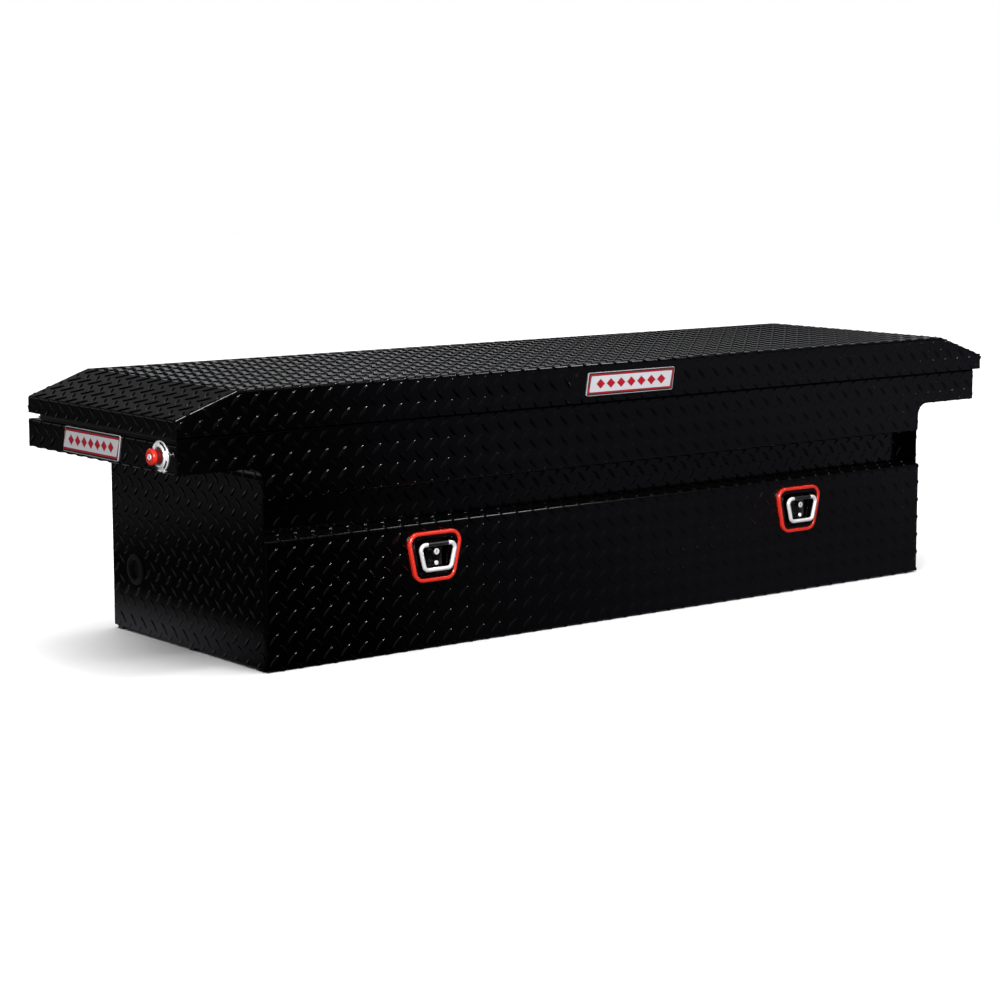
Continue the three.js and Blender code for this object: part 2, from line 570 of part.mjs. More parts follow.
// Three nested channels on each side; each has a web and two lips, and opens towards its neighbour.
function slides(name, side) {
  const wall = side * (INNER_BODY - GAP);
  const channel = (web, lipTo, half) => {
    const at = (distance) => wall - side * distance;
    const along = [SLIDE.from, SLIDE.from + SLIDE.length];
    const back = block([at(web), at(web + SLIDE.thick)], along, [SLIDE.z - half, SLIDE.z + half]);
    const lip = (z) => block([at(web), at(lipTo)], along, [SLIDE.z + z, SLIDE.z + z + SLIDE.thick]);
    return join(back, lip(-half), lip(half - SLIDE.thick));
  };
  add(`${name}_slide_outer`, zinc, channel(0, 12, SLIDE.half));
  add(`${name}_slide_middle`, zinc, channel(3.5, 14, SLIDE.half - 3.5));
  add(`${name}_slide_inner`, zinc, channel(SLIDE.width - SLIDE.thick - GAP, 7, SLIDE.half - 7));
}

// --- Drawer handles -------------------------------------------------------------------------------
// The handle's outline tapers towards its foot; each part of the handle is the same shape drawn smaller.
function handleOutline(side, inset, low = HANDLE.bottom, height = HANDLE.height) {
  const x = side * HANDLE_X;
  const lean = (HANDLE.top - HANDLE.foot) / 2 / HANDLE.height;
  const bottom = low + inset;
  const top = low + height - inset;
  const halfAt = (z) => HANDLE.foot / 2 + lean * (z - HANDLE.bottom) - inset * Math.hypot(1, lean);
  const corners = [v(x - halfAt(bottom), bottom), v(x + halfAt(bottom), bottom), v(x + halfAt(top), top),
    v(x - halfAt(top), top)];
  return roundedLoop(corners, Math.max(HANDLE.corner - inset, 3), 4);
}

function handle(name, side) {
  const x = side * HANDLE_X;
  const at = DRAWER_FRONT;
  const { rim } = HANDLE;
  const bezel = cut(push(handleOutline(side, 0), 'y', [at - 6, at - GAP], { bevel: 1.5 }),
    push(handleOutline(side, rim), 'y', [at - 20, at + 20]));
  add(`${name}_handle_bezel`, redEnamel, bezel);

  // The dish has a flange inside the bezel, two steps down to its back, and the boss in its middle.
  const back = at + 26;
  const lip = push(handleOutline(side, rim + GAP), 'y', [at - 4.5, at - GAP], { bevel: 1.2 });
  const body = push(handleOutline(side, 10.9), 'y', [at - 2, back]);
  const hollow = push(handleOutline(side, 12.5), 'y', [at - 20, at + 7]);
  const well = push(handleOutline(side, 16), 'y', [at - 20, back - 3]);
  const bossTop = HANDLE.bottom + HANDLE.height - 15;
  const { half, low, front } = HANDLE_BOSS;
  const bossCorners = [v(x - half, low), v(x + half, low), v(x + half, bossTop), v(x - half, bossTop)];
  const boss = push(roundedLoop(bossCorners, 3), 'y', [front, back - 2], { bevel: 1 });
  const keyHole = rod('y', [front - 5, back + 5], [x, 0, HANDLE_KEY.z], HANDLE_KEY.radius + GAP, 20);
  const studHole = rod('y', [front - 5, HANDLE_STUD.back], [x, 0, HANDLE_STUD.z], HANDLE_STUD.radius + GAP, 16);
  const dish = cut(join(lip, body), hollow, well);
  add(`${name}_handle_dish`, blackPlastic, cut(join(dish, boss), keyHole, studHole));

  // The bail turns on a pin through a barrel, which a web joins to the boss.
  const barrel = rod('x', [x + 0.5 - BAIL.end, x + BAIL.end - 0.5], [0, BAIL.y, BAIL.z], BAIL.bar, 16);
  const web = block([x - half + 2, x + half - 2], [BAIL.y, front - GAP], [BAIL.z - 1.5, BAIL.z + 1.5]);
  const pin = rod('x', [x - PIN.half, x + PIN.half], [0, BAIL.y, BAIL.z], PIN.radius, 12);
  add(`${name}_handle_pin`, blackPlastic, join(barrel, web, pin));
  add(`${name}_handle_bail`, stainless, bail(x));
  const key = rod('y', [HANDLE_KEY.front, back + 4], [x, 0, HANDLE_KEY.z], HANDLE_KEY.radius, 20);
  const keyway = block([x - 0.5, x + 0.5], [HANDLE_KEY.front - 2, HANDLE_KEY.front + 4],
    [HANDLE_KEY.z - 3, HANDLE_KEY.z + 3]);
  add(`${name}_handle_key`, stainless, cut(key, keyway));
  const { z, radius, front: tip, back: root } = HANDLE_STUD;
  const stud = [[0, tip], [radius - 1.2, tip], [radius, tip + 1.2], [radius, root], [0, root]];
  add(`${name}_handle_stud`, stainless, turned(stud, 'y', [x, 0, z], 16));

  // A round bolt runs from a plate behind the handle to the end panel.
  const outer = INNER_BODY - 0.6;
  const ends = [x, side * outer].sort((a, b) => a - b);
  const bolt = rod('x', ends, [0, BOLT.y, BOLT.z], BOLT.radius, 16);
  const plate = block([x - side * 4, x + side * BOLT.plate], [BOLT.y - 7, BOLT.y + 7],
    [BOLT.z - BOLT.plate, BOLT.z + BOLT.plate]);
  add(`${name}_latch_bolt`, zinc, join(bolt, plate));
}

// The bail: a round bar bent into a tapered U, whose ends turn in along the pivot pin.
function bail(x) {
  const path = rounded([v(-BAIL.end, BAIL.z), v(-BAIL.swing, BAIL.z), v(-BAIL.narrow, BAIL.foot),
    v(BAIL.narrow, BAIL.foot), v(BAIL.swing, BAIL.z), v(BAIL.end, BAIL.z)], Array(4).fill(BAIL.corner), 4);
  const points = path.map((p) => new THREE.Vector3(p.x, 0, p.y));
  const curve = new THREE.CatmullRomCurve3(points, false, 'centripetal');
  const section = new THREE.Shape();
  section.absarc(0, 0, BAIL.bar, 0, 2 * Math.PI);
  const tube = new THREE.ExtrudeGeometry(section, { steps: 32, extrudePath: curve, curveSegments: 3 });
  tube.translate(x, BAIL.y, 0);
  const along = (radius, segments) => SIDES.map(([, side]) => {
    const ends = [x + side * (BAIL.end - 1), x + side * (PIN.half + 0.5)];
    return rod('x', ends.sort((a, b) => a - b), [0, BAIL.y, BAIL.z], radius, segments);
  });
  return cut(solid(tube), ...along(PIN.radius + GAP, 12));
}

// --- Name plates ----------------------------------------------------------------------------------
// Blank plates with slanting ends.
function slanted(centre, length, [low, high], slant) {
  const half = length / 2;
  const [left, right] = [centre - half, centre + half];
  return [v(left, low), v(right - slant, low), v(right, high), v(left + slant, high)];
}

function badges() {
  const plate = (name, outline, axis, face) => {
    add(name, silverPlate, push(outline, axis, [face - 2.8, face - GAP], { bevel: 0.6 }));
  };
  plate('lid_badge', slanted(2.5, 202, [396.5, 436], 6), 'y', LID_FRONT);
  plate('wing_badge', slanted(37.5, 167, [330.5, 372], -10), 'x', -HALF_WING);
}

endPanel('left_end_panel', -1);
endPanel('right_end_panel', 1);
frontPanel();
rearPanel();
weatherRim();
floors();
runners();
sidePlug();
lidShell();
lidInside();
hinge();
lidLock();
latchRod();
drawerFront();
drawerTray();
for (const [name, side] of SIDES) {
  strut(name, side);
  slides(name, side);
  handle(name, side);
}
badges();

export default group;
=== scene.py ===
"""Looks of a crossbed truck tool box in gloss black tread plate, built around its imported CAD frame.

Lengths are millimetres in the frame's own axes until a mesh is made from them, and metres in the studio.
X runs along the box, -Y is the drawer side, Z is up.
"""
import json
import math

import bmesh
import bpy
import numpy as np
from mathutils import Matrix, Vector

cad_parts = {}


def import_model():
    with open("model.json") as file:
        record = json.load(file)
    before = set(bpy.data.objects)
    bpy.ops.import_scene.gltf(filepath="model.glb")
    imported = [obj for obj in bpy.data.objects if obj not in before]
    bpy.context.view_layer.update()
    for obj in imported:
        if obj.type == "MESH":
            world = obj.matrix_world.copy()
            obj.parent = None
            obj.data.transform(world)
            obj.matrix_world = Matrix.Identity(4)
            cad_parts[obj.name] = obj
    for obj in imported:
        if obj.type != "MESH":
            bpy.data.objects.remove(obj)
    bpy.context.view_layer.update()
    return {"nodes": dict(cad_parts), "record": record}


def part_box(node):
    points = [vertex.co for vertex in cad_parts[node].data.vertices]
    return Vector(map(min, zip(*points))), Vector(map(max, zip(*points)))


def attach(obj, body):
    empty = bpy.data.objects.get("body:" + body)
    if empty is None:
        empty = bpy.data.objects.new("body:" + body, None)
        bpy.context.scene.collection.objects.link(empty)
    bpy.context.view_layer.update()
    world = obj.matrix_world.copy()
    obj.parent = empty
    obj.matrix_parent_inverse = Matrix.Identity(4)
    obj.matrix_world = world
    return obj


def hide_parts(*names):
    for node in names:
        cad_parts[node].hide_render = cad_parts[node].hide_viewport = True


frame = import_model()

MM = 0.001
SIDES = {"left": -1, "right": 1}

RECORD = frame["record"]
BODY_OF = {node: body for body, nodes in RECORD["behaviour"]["bodies"].items() for node in nodes}
SLOT_OF = {part["node"]: part["material_slot"] for part in RECORD["subparts"]}


def box_mm(node):
    """Lowest and highest corner of a CAD node, in millimetres."""
    low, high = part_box(node)
    return np.array(low) / MM, np.array(high) / MM


# Sizes of the box, from the frame where a node's box gives them and otherwise as the CAD part has them
SHEET = 2.5
BEND = 4.0
LID_LOW, LID_HIGH = box_mm("lid_shell")
LID_TOP_HALF = 796
SLOPE_START = LID_LOW[2] + 27
END_LOW, END_HIGH = box_mm("right_end_panel")
WING_FACE = -END_HIGH[0]
WING_BOTTOM = 326
WING_CORNER = 22
FRONT_LOW, FRONT_HIGH = box_mm("front_panel")
REAR_LOW, REAR_HIGH = box_mm("rear_panel")
DRAWER_LOW, DRAWER_HIGH = box_mm("drawer_front")
BODY_HALF = DRAWER_HIGH[0]
DRAWER_FACE = DRAWER_LOW[1]
DRAWER_TOP = 211
# Height where the upper front folds back, the radius of that fold, and how far ahead of the middle the band is
FOLD = 274
FOLD_BEND = 5.25
BAND = 190
# Flange turned in along the tub's top
FLANGE = 18


# --- Materials ------------------------------------------------------------------------------------
def finish(name, colour, roughness, metallic=0.0, grain=700, bump=0.08, vary=0.2, stretch=(1, 1, 1),
           rough_vary=0.06, coat=0.0):
    """A surface whose colour, roughness and relief vary with noise. Grain is the relief's noise scale."""
    made = bpy.data.materials.new(name)
    made.use_nodes = True
    nodes, links = made.node_tree.nodes, made.node_tree.links
    shader = nodes["Principled BSDF"]
    shader.inputs["Metallic"].default_value = metallic
    shader.inputs["Coat Weight"].default_value = coat
    shader.inputs["Coat Roughness"].default_value = 0.08
    place = nodes.new("ShaderNodeTexCoord")
    mapping = nodes.new("ShaderNodeMapping")
    mapping.inputs["Scale"].default_value = stretch
    links.new(place.outputs["Object"], mapping.inputs["Vector"])

    def noise(scale, detail):
        texture = nodes.new("ShaderNodeTexNoise")
        texture.inputs["Scale"].default_value = scale
        texture.inputs["Detail"].default_value = detail
        links.new(mapping.outputs["Vector"], texture.inputs["Vector"])
        return texture.outputs["Fac"]

    broad = noise(7, 4)
    fine = noise(grain, 3)

    ramp = nodes.new("ShaderNodeMapRange")
    ramp.inputs["To Min"].default_value = 1 - vary
    ramp.inputs["To Max"].default_value = 1 + vary
    links.new(broad, ramp.inputs["Value"])
    tint = nodes.new("ShaderNodeVectorMath")
    tint.operation = "SCALE"
    tint.inputs[0].default_value = colour
    links.new(ramp.outputs["Result"], tint.inputs["Scale"])
    links.new(tint.outputs["Vector"], shader.inputs["Base Color"])

    gloss = nodes.new("ShaderNodeMapRange")
    gloss.inputs["To Min"].default_value = roughness - rough_vary
    gloss.inputs["To Max"].default_value = roughness + rough_vary
    links.new(noise(40, 5), gloss.inputs["Value"])
    links.new(gloss.outputs["Result"], shader.inputs["Roughness"])

    relief = nodes.new("ShaderNodeBump")
    relief.inputs["Strength"].default_value = bump
    relief.inputs["Distance"].default_value = 0.0003
    links.new(fine, relief.inputs["Height"])
    links.new(relief.outputs["Normal"], shader.inputs["Normal"])
    return made


MATERIALS = {
    "black_tread_plate": finish("gloss_black_powder_coat", (0.0010, 0.0010, 0.0012), 0.13, grain=420,
                                rough_vary=0.03),
    "smooth_black_sheet": finish("satin_black_powder_coat", (0.013, 0.013, 0.0138), 0.38, grain=600,
                                 bump=0.18),
    "red_enamel": finish("red_enamel", (0.52, 0.022, 0.012), 0.24, grain=500, bump=0.04, vary=0.06, coat=0.5),
    "black_plastic": finish("black_plastic", (0.004, 0.004, 0.0045), 0.28, grain=1400, bump=0.15),
    "rubber": finish("black_rubber", (0.007, 0.007, 0.007), 0.62, grain=900, bump=0.35),
    "stainless": finish("polished_stainless", (0.90, 0.90, 0.91), 0.30, metallic=0.5, grain=900, bump=0.05,
                        vary=0.05, rough_vary=0.05),
    "zinc_plate": finish("bright_zinc_plate", (0.60, 0.60, 0.57), 0.34, metallic=1.0, grain=500, bump=0.12,
                         vary=0.12, rough_vary=0.08),
    "silver_plate": finish("satin_silver_plate", (0.62, 0.63, 0.66), 0.34, metallic=0.35, grain=900,
                           bump=0.06, vary=0.04),
    # Finishes of details inside a node, beside its slot's own
    # Black that is painted shade in keyways and flange slots, which are really openings, and black print on
    # the name plates
    "key_slot": finish("dark_key_slot", (0.004, 0.004, 0.004), 0.6),
    "dull_grey": finish("dull_grey_bar", (0.10, 0.10, 0.105), 0.3, metallic=0.5, grain=900),
    "red_print": finish("red_print", (0.30, 0.003, 0.010), 0.4, grain=600, bump=0.03, vary=0.08),
    # The button's red enamel painted darker, as shade on its stem under the cap
    "dark_red_enamel": finish("dark_red_enamel", (0.10, 0.003, 0.004), 0.3, grain=500, bump=0.04, vary=0.1),
}


# Bright pieces on the outside, which a light of their own lights
BRIGHT_SLOTS = ("red_enamel", "stainless", "silver_plate")
ACCENTS = []
# Pieces inside the box, lit from above once the lid or the drawer is open
INNER_SLOTS = ("smooth_black_sheet", "zinc_plate")
INNER = []


# --- Meshes ---------------------------------------------------------------------------------------
class Build:
    """Collects closed surfaces, in millimetres, into one piece with a material for each of them."""

    def __init__(self):
        self.vertices = []
        self.faces = []
        self.finishes = []
        self.slots = []

    def add(self, vertices, faces, finish_name):
        start = sum(len(v) for v in self.vertices)
        self.vertices.append(np.asarray(vertices, float))
        self.faces += [[start + i for i in face] for face in faces]
        if finish_name not in self.slots:
            self.slots.append(finish_name)
        self.finishes += [self.slots.index(finish_name)] * len(faces)
        return self

    def object(self, name, smooth=40):
        """The mesh as an object, its faces turned outward and smooth up to an angle in degrees."""
        mesh = bpy.data.meshes.new(name)
        mesh.from_pydata((np.concatenate(self.vertices) * MM).tolist(), [], self.faces)
        mesh.polygons.foreach_set("material_index", self.finishes)
        for slot in self.slots:
            mesh.materials.append(MATERIALS[slot])
        shape = bmesh.new()
        shape.from_mesh(mesh)
        bmesh.ops.recalc_face_normals(shape, faces=shape.faces)
        shape.to_mesh(mesh)
        shape.free()
        mesh.shade_smooth()
        mesh.set_sharp_from_angle(angle=math.radians(smooth))
        made = bpy.data.objects.new(name, mesh)
        bpy.context.scene.collection.objects.link(made)
        weigh(made)
        return made

    def stand_for(self, node, name=None, smooth=40):
        """The piece in place of a CAD node, on its body and with its slot's finish."""
        made = self.object(name or node + "_detail", smooth)
        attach(made, BODY_OF[node])
        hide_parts(node)
        if SLOT_OF[node] in BRIGHT_SLOTS:
            ACCENTS.append(made)
        if SLOT_OF[node] in INNER_SLOTS:
            INNER.append(made)
        return made


def weigh(thing):
    """Large flat faces keep their own normals beside small curved ones."""
    weighted = thing.modifiers.new("weighted_normals", "WEIGHTED_NORMAL")
    weighted.keep_sharp = True


def loft(rings, closed=False):
    """Vertices and faces between rings of equally many points, with end caps unless it closes on itself."""
    count = len(rings[0])
    faces = []
    for k in range(len(rings) if closed else len(rings) - 1):
        here, there = k * count, (k + 1) % len(rings) * count
        for i in range(count):
            after = (i + 1) % count
            faces.append((here + i, here + after, there + after, there + i))
    if not closed:
        faces.append(tuple(range(count)))
        faces.append(tuple(range((len(rings) - 1) * count, len(rings) * count)))
    return np.concatenate(rings), faces


def round_corners(points, radii, steps=6):
    """An open path with arcs at its inner corners, and the travel direction at each of its points."""
    points = [np.array(p, float) for p in points]
    towards = [(b - a) / np.linalg.norm(b - a) for a, b in zip(points, points[1:])]
    path, headings = [points[0]], [towards[0]]
    for corner, radius, before, after in zip(points[1:-1], radii, towards, towards[1:]):
        turn = math.atan2(before[0] * after[1] - before[1] * after[0], before @ after)
        reach = radius * math.tan(abs(turn) / 2)
        left = np.array([-before[1], before[0]]) * math.copysign(1, turn)
        start = corner - before * reach
        centre = start + left * radius
        for k in range(steps + 1):
            angle = turn * k / steps
            c, s = math.cos(angle), math.sin(angle)
            spun = np.array([[c, -s], [s, c]])
            path.append(centre + spun @ (start - centre))
            headings.append(spun @ before)
    path.append(points[-1])
    headings.append(towards[-1])
    return np.array(path), np.array(headings)


def round_loop(points, radius, steps=6):
    """A closed outline with every corner rounded."""
    middle = (np.array(points[0], float) + np.array(points[-1], float)) / 2
    path, _ = round_corners([middle, *points, middle], [radius] * len(points), steps)
    return path[1:-1]


# --- Tread plate ----------------------------------------------------------------------------------
PITCH = 34.0
LUG_LENGTH = 25.5
LUG_WIDTH = 7.6
LUG_HEIGHT = 1.5
LUG_POINTS = 12
# Rings of a lug, from its foot sunk in the sheet to its crest: shares of its length, width and height
LUG_RINGS = [(1.0, 1.0, -0.1), (0.985, 0.70, 0.30), (0.93, 0.42, 0.68), (0.82, 0.16, 1.0)]


class Sheet:
    """The outer face of a bent sheet, unrolled: s runs along its section and u across it.

    The section is a path of (distance out from the middle, height). It faces right of its travel.
    """

    def __init__(self, corners, radii, axis, side):
        self.path, headings = round_corners(corners, radii)
        self.normals = np.stack([headings[:, 1], -headings[:, 0]], axis=1)
        lengths = np.hypot(*np.diff(self.path, axis=0).T)
        self.s = np.concatenate([[0], np.cumsum(lengths)])
        self.axis, self.side = axis, side

    def roll(self, flat):
        """Points (s, u, height above the face) as points of the frame."""
        s, u, height = flat.T
        out = np.interp(s, self.s, self.path[:, 0]) + height * np.interp(s, self.s, self.normals[:, 0])
        z = np.interp(s, self.s, self.path[:, 1]) + height * np.interp(s, self.s, self.normals[:, 1])
        if self.axis == "y":
            return np.stack([u, self.side * out, z], axis=1)
        return np.stack([self.side * out, u, z], axis=1)


def lug_template():
    """Points (along, across, height) and faces of one lens-shaped lug, its foot sunk in the sheet."""
    turn = np.arange(LUG_POINTS) * 2 * math.pi / LUG_POINTS
    along = np.cos(turn) * LUG_LENGTH / 2
    across = np.sin(turn) * np.abs(np.sin(turn)) * LUG_WIDTH / 2
    rings = [np.stack([along * a, across * b, np.full(LUG_POINTS, h * LUG_HEIGHT)], axis=1)
             for a, b, h in LUG_RINGS]
    return loft(rings)


def lugs_over(region):
    """Centres (s, u) and leanings of the lugs that may touch a region of the unrolled sheet."""
    corners = np.array(region)
    low, high = corners.min(0) - LUG_LENGTH, corners.max(0) + LUG_LENGTH
    centres, leans = [], []
    for lean, shift in ((-1, 0.0), (1, PITCH / 2)):
        grid = [np.arange(math.ceil((a - shift) / PITCH), math.floor((b - shift) / PITCH) + 1) * PITCH + shift
                for a, b in zip(low, high)]
        s, u = np.meshgrid(*grid, indexing="ij")
        centres.append(np.stack([s.ravel(), u.ravel()], axis=1))
        leans.append(np.full(s.size, lean))
    return np.concatenate(centres), np.concatenate(leans)


def trim(points, faces, region):
    """Cuts lugs off along the straight edges of a convex region, and closes the cuts."""
    shape = bmesh.new()
    made = [shape.verts.new(p) for p in points]
    for face in faces:
        shape.faces.new([made[i] for i in face])
    middle = np.mean(region, axis=0)
    for a, b in zip(region, region[1:] + region[:1]):
        outward = np.array([b[1] - a[1], a[0] - b[0]], float)
        if outward @ (np.array(a) - middle) < 0:
            outward = -outward
        outward /= np.linalg.norm(outward)
        cut = bmesh.ops.bisect_plane(shape, geom=shape.verts[:] + shape.edges[:] + shape.faces[:], dist=1e-4,
                                     plane_co=(*a, 0), plane_no=(*outward, 0), clear_outer=True)
        edges = [e for e in cut["geom_cut"] if isinstance(e, bmesh.types.BMEdge) and e.is_boundary]
        bmesh.ops.holes_fill(shape, edges=edges, sides=0)
    shape.verts.index_update()
    points = np.array([v.co[:] for v in shape.verts]).reshape(-1, 3)
    faces = [[v.index for v in face.verts] for face in shape.faces]
    shape.free()
    return points, faces


def tread(build, sheet, region, keep_out=()):
    """Adds the lugs of one convex region (corners (s, u) in order) of a sheet."""
    centres, leans = lugs_over(region)
    template, faces = lug_template()
    along, across, height = template.T
    diagonal = math.sqrt(0.5)
    s = centres[:, :1] + (along * leans[:, None] + across) * diagonal
    u = centres[:, 1:] + (along - across * leans[:, None]) * diagonal
    flat = np.stack([s, u, np.broadcast_to(height, s.shape)], axis=2)

    foot = flat[:, :LUG_POINTS, :2]
    middle = np.mean(region, axis=0)
    inside = np.ones(foot.shape[:2], bool)
    for a, b in zip(region, region[1:] + region[:1]):
        edge = np.array(b, float) - a
        turn = edge[0] * (foot[..., 1] - a[1]) - edge[1] * (foot[..., 0] - a[0])
        home = edge[0] * (middle[1] - a[1]) - edge[1] * (middle[0] - a[0])
        inside &= turn * home > 0
    placed = sheet.roll(flat[:, :LUG_POINTS].reshape(-1, 3)).reshape(len(flat), LUG_POINTS, 3)
    for zone in keep_out:
        blocked = zone(placed).any(axis=1)
        flat, inside, placed = flat[~blocked], inside[~blocked], placed[~blocked]

    count = len(template)

    def repeated(chosen):
        points = chosen.reshape(-1, 3)
        return points, [[k * count + i for i in face] for k in range(len(chosen)) for face in faces]

    whole = inside.all(axis=1)
    points, many = repeated(flat[whole])
    if len(points):
        build.add(sheet.roll(points), many, "black_tread_plate")
    crossing = inside.any(axis=1) & ~whole
    if crossing.any():
        points, many = trim(*repeated(flat[crossing]), region)
        if len(points):
            build.add(sheet.roll(points), many, "black_tread_plate")


SHARP_EDGE = math.radians(50)
EDGE_BEVEL = 0.6


def cad_surface(build, node, finish_name):
    """Adds a CAD node's own surface, welded, its sharp edges softened."""
    shape = bmesh.new()
    shape.from_mesh(frame["nodes"][node].data)
    bmesh.ops.remove_doubles(shape, verts=shape.verts, dist=1e-6)
    bmesh.ops.dissolve_limit(shape, angle_limit=math.radians(0.5), verts=shape.verts, edges=shape.edges)
    sharp = [e for e in shape.edges if len(e.link_faces) == 2 and e.calc_face_angle(0) > SHARP_EDGE]
    bmesh.ops.bevel(shape, geom=sharp, offset=EDGE_BEVEL * MM, segments=2, profile=0.5, affect="EDGES",
                    clamp_overlap=True)
    shape.verts.index_update()
    points = np.array([v.co[:] for v in shape.verts]) / MM
    faces = [[v.index for v in face.verts] for face in shape.faces]
    shape.free()
    build.add(points, faces, finish_name)


def rectangle(s_from, s_to, half, middle=0):
    """A region of an unrolled sheet, as wide as two halves about its middle."""
    return [(s_from, middle - half), (s_to, middle - half), (s_to, middle + half), (s_from, middle + half)]


def in_box(node, margin):
    """A zone: inside a node's box, seen square on, less a margin."""
    low, high = box_mm(node)
    across = np.argsort(high - low)[1:]
    low, high = low[across] + margin, high[across] - margin

    def zone(points):
        seen = points[..., across]
        return ((seen > low) & (seen < high)).all(-1)

    return zone


# Plain strip along the lid's back edge
BACK_MARGIN = 13
# How far a lug may reach in under the edge of a plate, of the plug or escutcheon, and of a handle
PLATE_COVER = 3
ROUND_COVER = 1
HANDLE_COVER = 9


def lid():
    """The lid's front and back skirts, its level top and its two sloping ends."""
    build = Build()
    cad_surface(build, "lid_shell", "black_tread_plate")
    depth, top, low = LID_HIGH[1], LID_HIGH[2], LID_LOW[2]
    half, edge = LID_HIGH[0], LID_TOP_HALF - 1
    over = Sheet([(depth, low), (depth, top), (-depth, top), (-depth, low)], [BEND, BEND], "y", -1)
    fold = top - BEND - low + math.pi / 2 * BEND / 2
    corner = SLOPE_START - low
    for start, sign in ((0, 1), (over.s[-1], -1)):
        bottom, slope_foot, bend = start, start + sign * corner, start + sign * fold
        skirt = [(bottom, -half + 1), (slope_foot, -half + 1), (bend, -edge),
                 (bend, edge), (slope_foot, half - 1), (bottom, half - 1)]
        tread(build, over, skirt, [in_box("lid_badge", PLATE_COVER)] if sign > 0 else [])
    tread(build, over, rectangle(fold, over.s[-1] - fold - BACK_MARGIN, edge))
    for side in SIDES.values():
        end = Sheet([(half, low), (half, SLOPE_START), (LID_TOP_HALF, top)], [BEND], "x", side)
        tread(build, end, rectangle(0, end.s[-1], depth - (BEND + BACK_MARGIN) / 2, -BACK_MARGIN / 2))
    build.stand_for("lid_shell", "lid_tread_plate", smooth=50)


def handle_half(z, inset):
    """Half the width of a drawer handle's outline at a height."""
    lean = (HANDLE["top"] - HANDLE["foot"]) / 2 / HANDLE["height"]
    return HANDLE["foot"] / 2 + lean * (z - HANDLE["bottom"]) - inset * math.hypot(1, lean)


def in_handle(side, inset):
    """A zone: inside a handle's outline drawn smaller by an inset."""

    def zone(points):
        x, z = points[..., 0] - side * HANDLE_X, points[..., 2]
        low, high = HANDLE["bottom"] + inset, HANDLE["bottom"] + HANDLE["height"] - inset
        return (np.abs(x) < handle_half(z, inset)) & (z > low) & (z < high)

    return zone


def front():
    """The set-back band, the fold over it, the upper front's face and its two wings."""
    build = Build()
    cad_surface(build, "front_panel", "black_tread_plate")
    face, top, low = -FRONT_LOW[1], FRONT_HIGH[2], FRONT_LOW[2]
    section = [(BAND, low), (BAND, FOLD), (face, FOLD), (face, top), (face - FLANGE, top)]
    sheet = Sheet(section, [1.5, FOLD_BEND, BEND], "y", -1)
    at_fold = FOLD - low + face - BAND - 1
    at_wing = at_fold + WING_BOTTOM - FOLD
    at_top = at_fold + top - FOLD - 4
    tread(build, sheet, rectangle(0, at_fold, BODY_HALF - SHEET - 0.3))
    tread(build, sheet, rectangle(at_fold, at_wing, BODY_HALF - 0.5))
    tread(build, sheet, rectangle(at_wing, at_top, BODY_HALF - 0.5))
    for side in SIDES.values():
        reach = (END_HIGH[0] - BODY_HALF) / 2
        tread(build, sheet, rectangle(at_wing, at_top, reach - 0.5, side * (BODY_HALF + reach)))
    build.stand_for("front_panel", "front_tread_plate")


def rear():
    """The back, narrow between the bed rails and wide above them."""
    build = Build()
    cad_surface(build, "rear_panel", "black_tread_plate")
    back, top, low = REAR_HIGH[1], REAR_HIGH[2], REAR_LOW[2]
    sheet = Sheet([(back, low), (back, top), (REAR_LOW[1], top)], [BEND], "y", 1)
    tread(build, sheet, rectangle(0, WING_BOTTOM - low, BODY_HALF - 0.5))
    tread(build, sheet, rectangle(WING_BOTTOM - low, top - low - 2, END_HIGH[0] - 0.5))
    build.stand_for("rear_panel", "rear_tread_plate")


def ends():
    """Each end panel, bent out into its wing's floor and up into its end wall."""
    out, low, top = END_HIGH[0], END_LOW[2], END_HIGH[2]
    section = [(BODY_HALF, low), (BODY_HALF, WING_BOTTOM), (out, WING_BOTTOM), (out, top),
               (out - FLANGE, top)]
    half, middle = (END_HIGH[1] - END_LOW[1]) / 2 - 0.5, (END_HIGH[1] + END_LOW[1]) / 2
    for name, side in SIDES.items():
        build = Build()
        node = name + "_end_panel"
        cad_surface(build, node, "black_tread_plate")
        sheet = Sheet(section, [WING_CORNER, BEND, BEND], "x", side)
        zones = []
        if side < 0:
            zones = [in_box("side_plug", ROUND_COVER), in_box("lock_escutcheon", ROUND_COVER),
                     in_box("wing_badge", PLATE_COVER)]
        tread(build, sheet, rectangle(0, sheet.s[-1] - FLANGE, half, middle), zones)
        build.stand_for(node, name + "_end_tread_plate")


def drawer_face():
    """The drawer's face and the rounded fold along its top."""
    build = Build()
    cad_surface(build, "drawer_front", "black_tread_plate")
    face, low = -DRAWER_FACE, DRAWER_LOW[2]
    section = [(face, low), (face, DRAWER_TOP - 0.4), (-DRAWER_HIGH[1], DRAWER_HIGH[2])]
    sheet = Sheet(section, [FOLD_BEND], "y", -1)
    fold = DRAWER_TOP - low - 3
    holes = [in_handle(side, HANDLE_COVER) for side in SIDES.values()]
    tread(build, sheet, rectangle(0, fold, BODY_HALF - 1), holes)
    tread(build, sheet, rectangle(fold, sheet.s[-1], BODY_HALF - SHEET - 1), holes)
    build.stand_for("drawer_front", "drawer_tread_plate")


# --- Drawer handles -------------------------------------------------------------------------------
HANDLE_X = 418
HANDLE = {"bottom": 112, "height": 84, "top": 117, "foot": 80, "corner": 20}
# The bail: where it turns, and half widths of its U at the pivot, at the foot and between its turned-in ends
BAIL = {"y": -241, "z": 175.5, "foot": 133.5, "bar": 3.5, "swing": 37, "narrow": 26.5, "end": 21.5,
        "corner": 9}
# The raised block inside a handle's dish, and the pin that the bail turns on
BOSS = {"half": 17, "low": 134, "high": 181}
PIN = {"half": 27.5, "radius": 2.2}


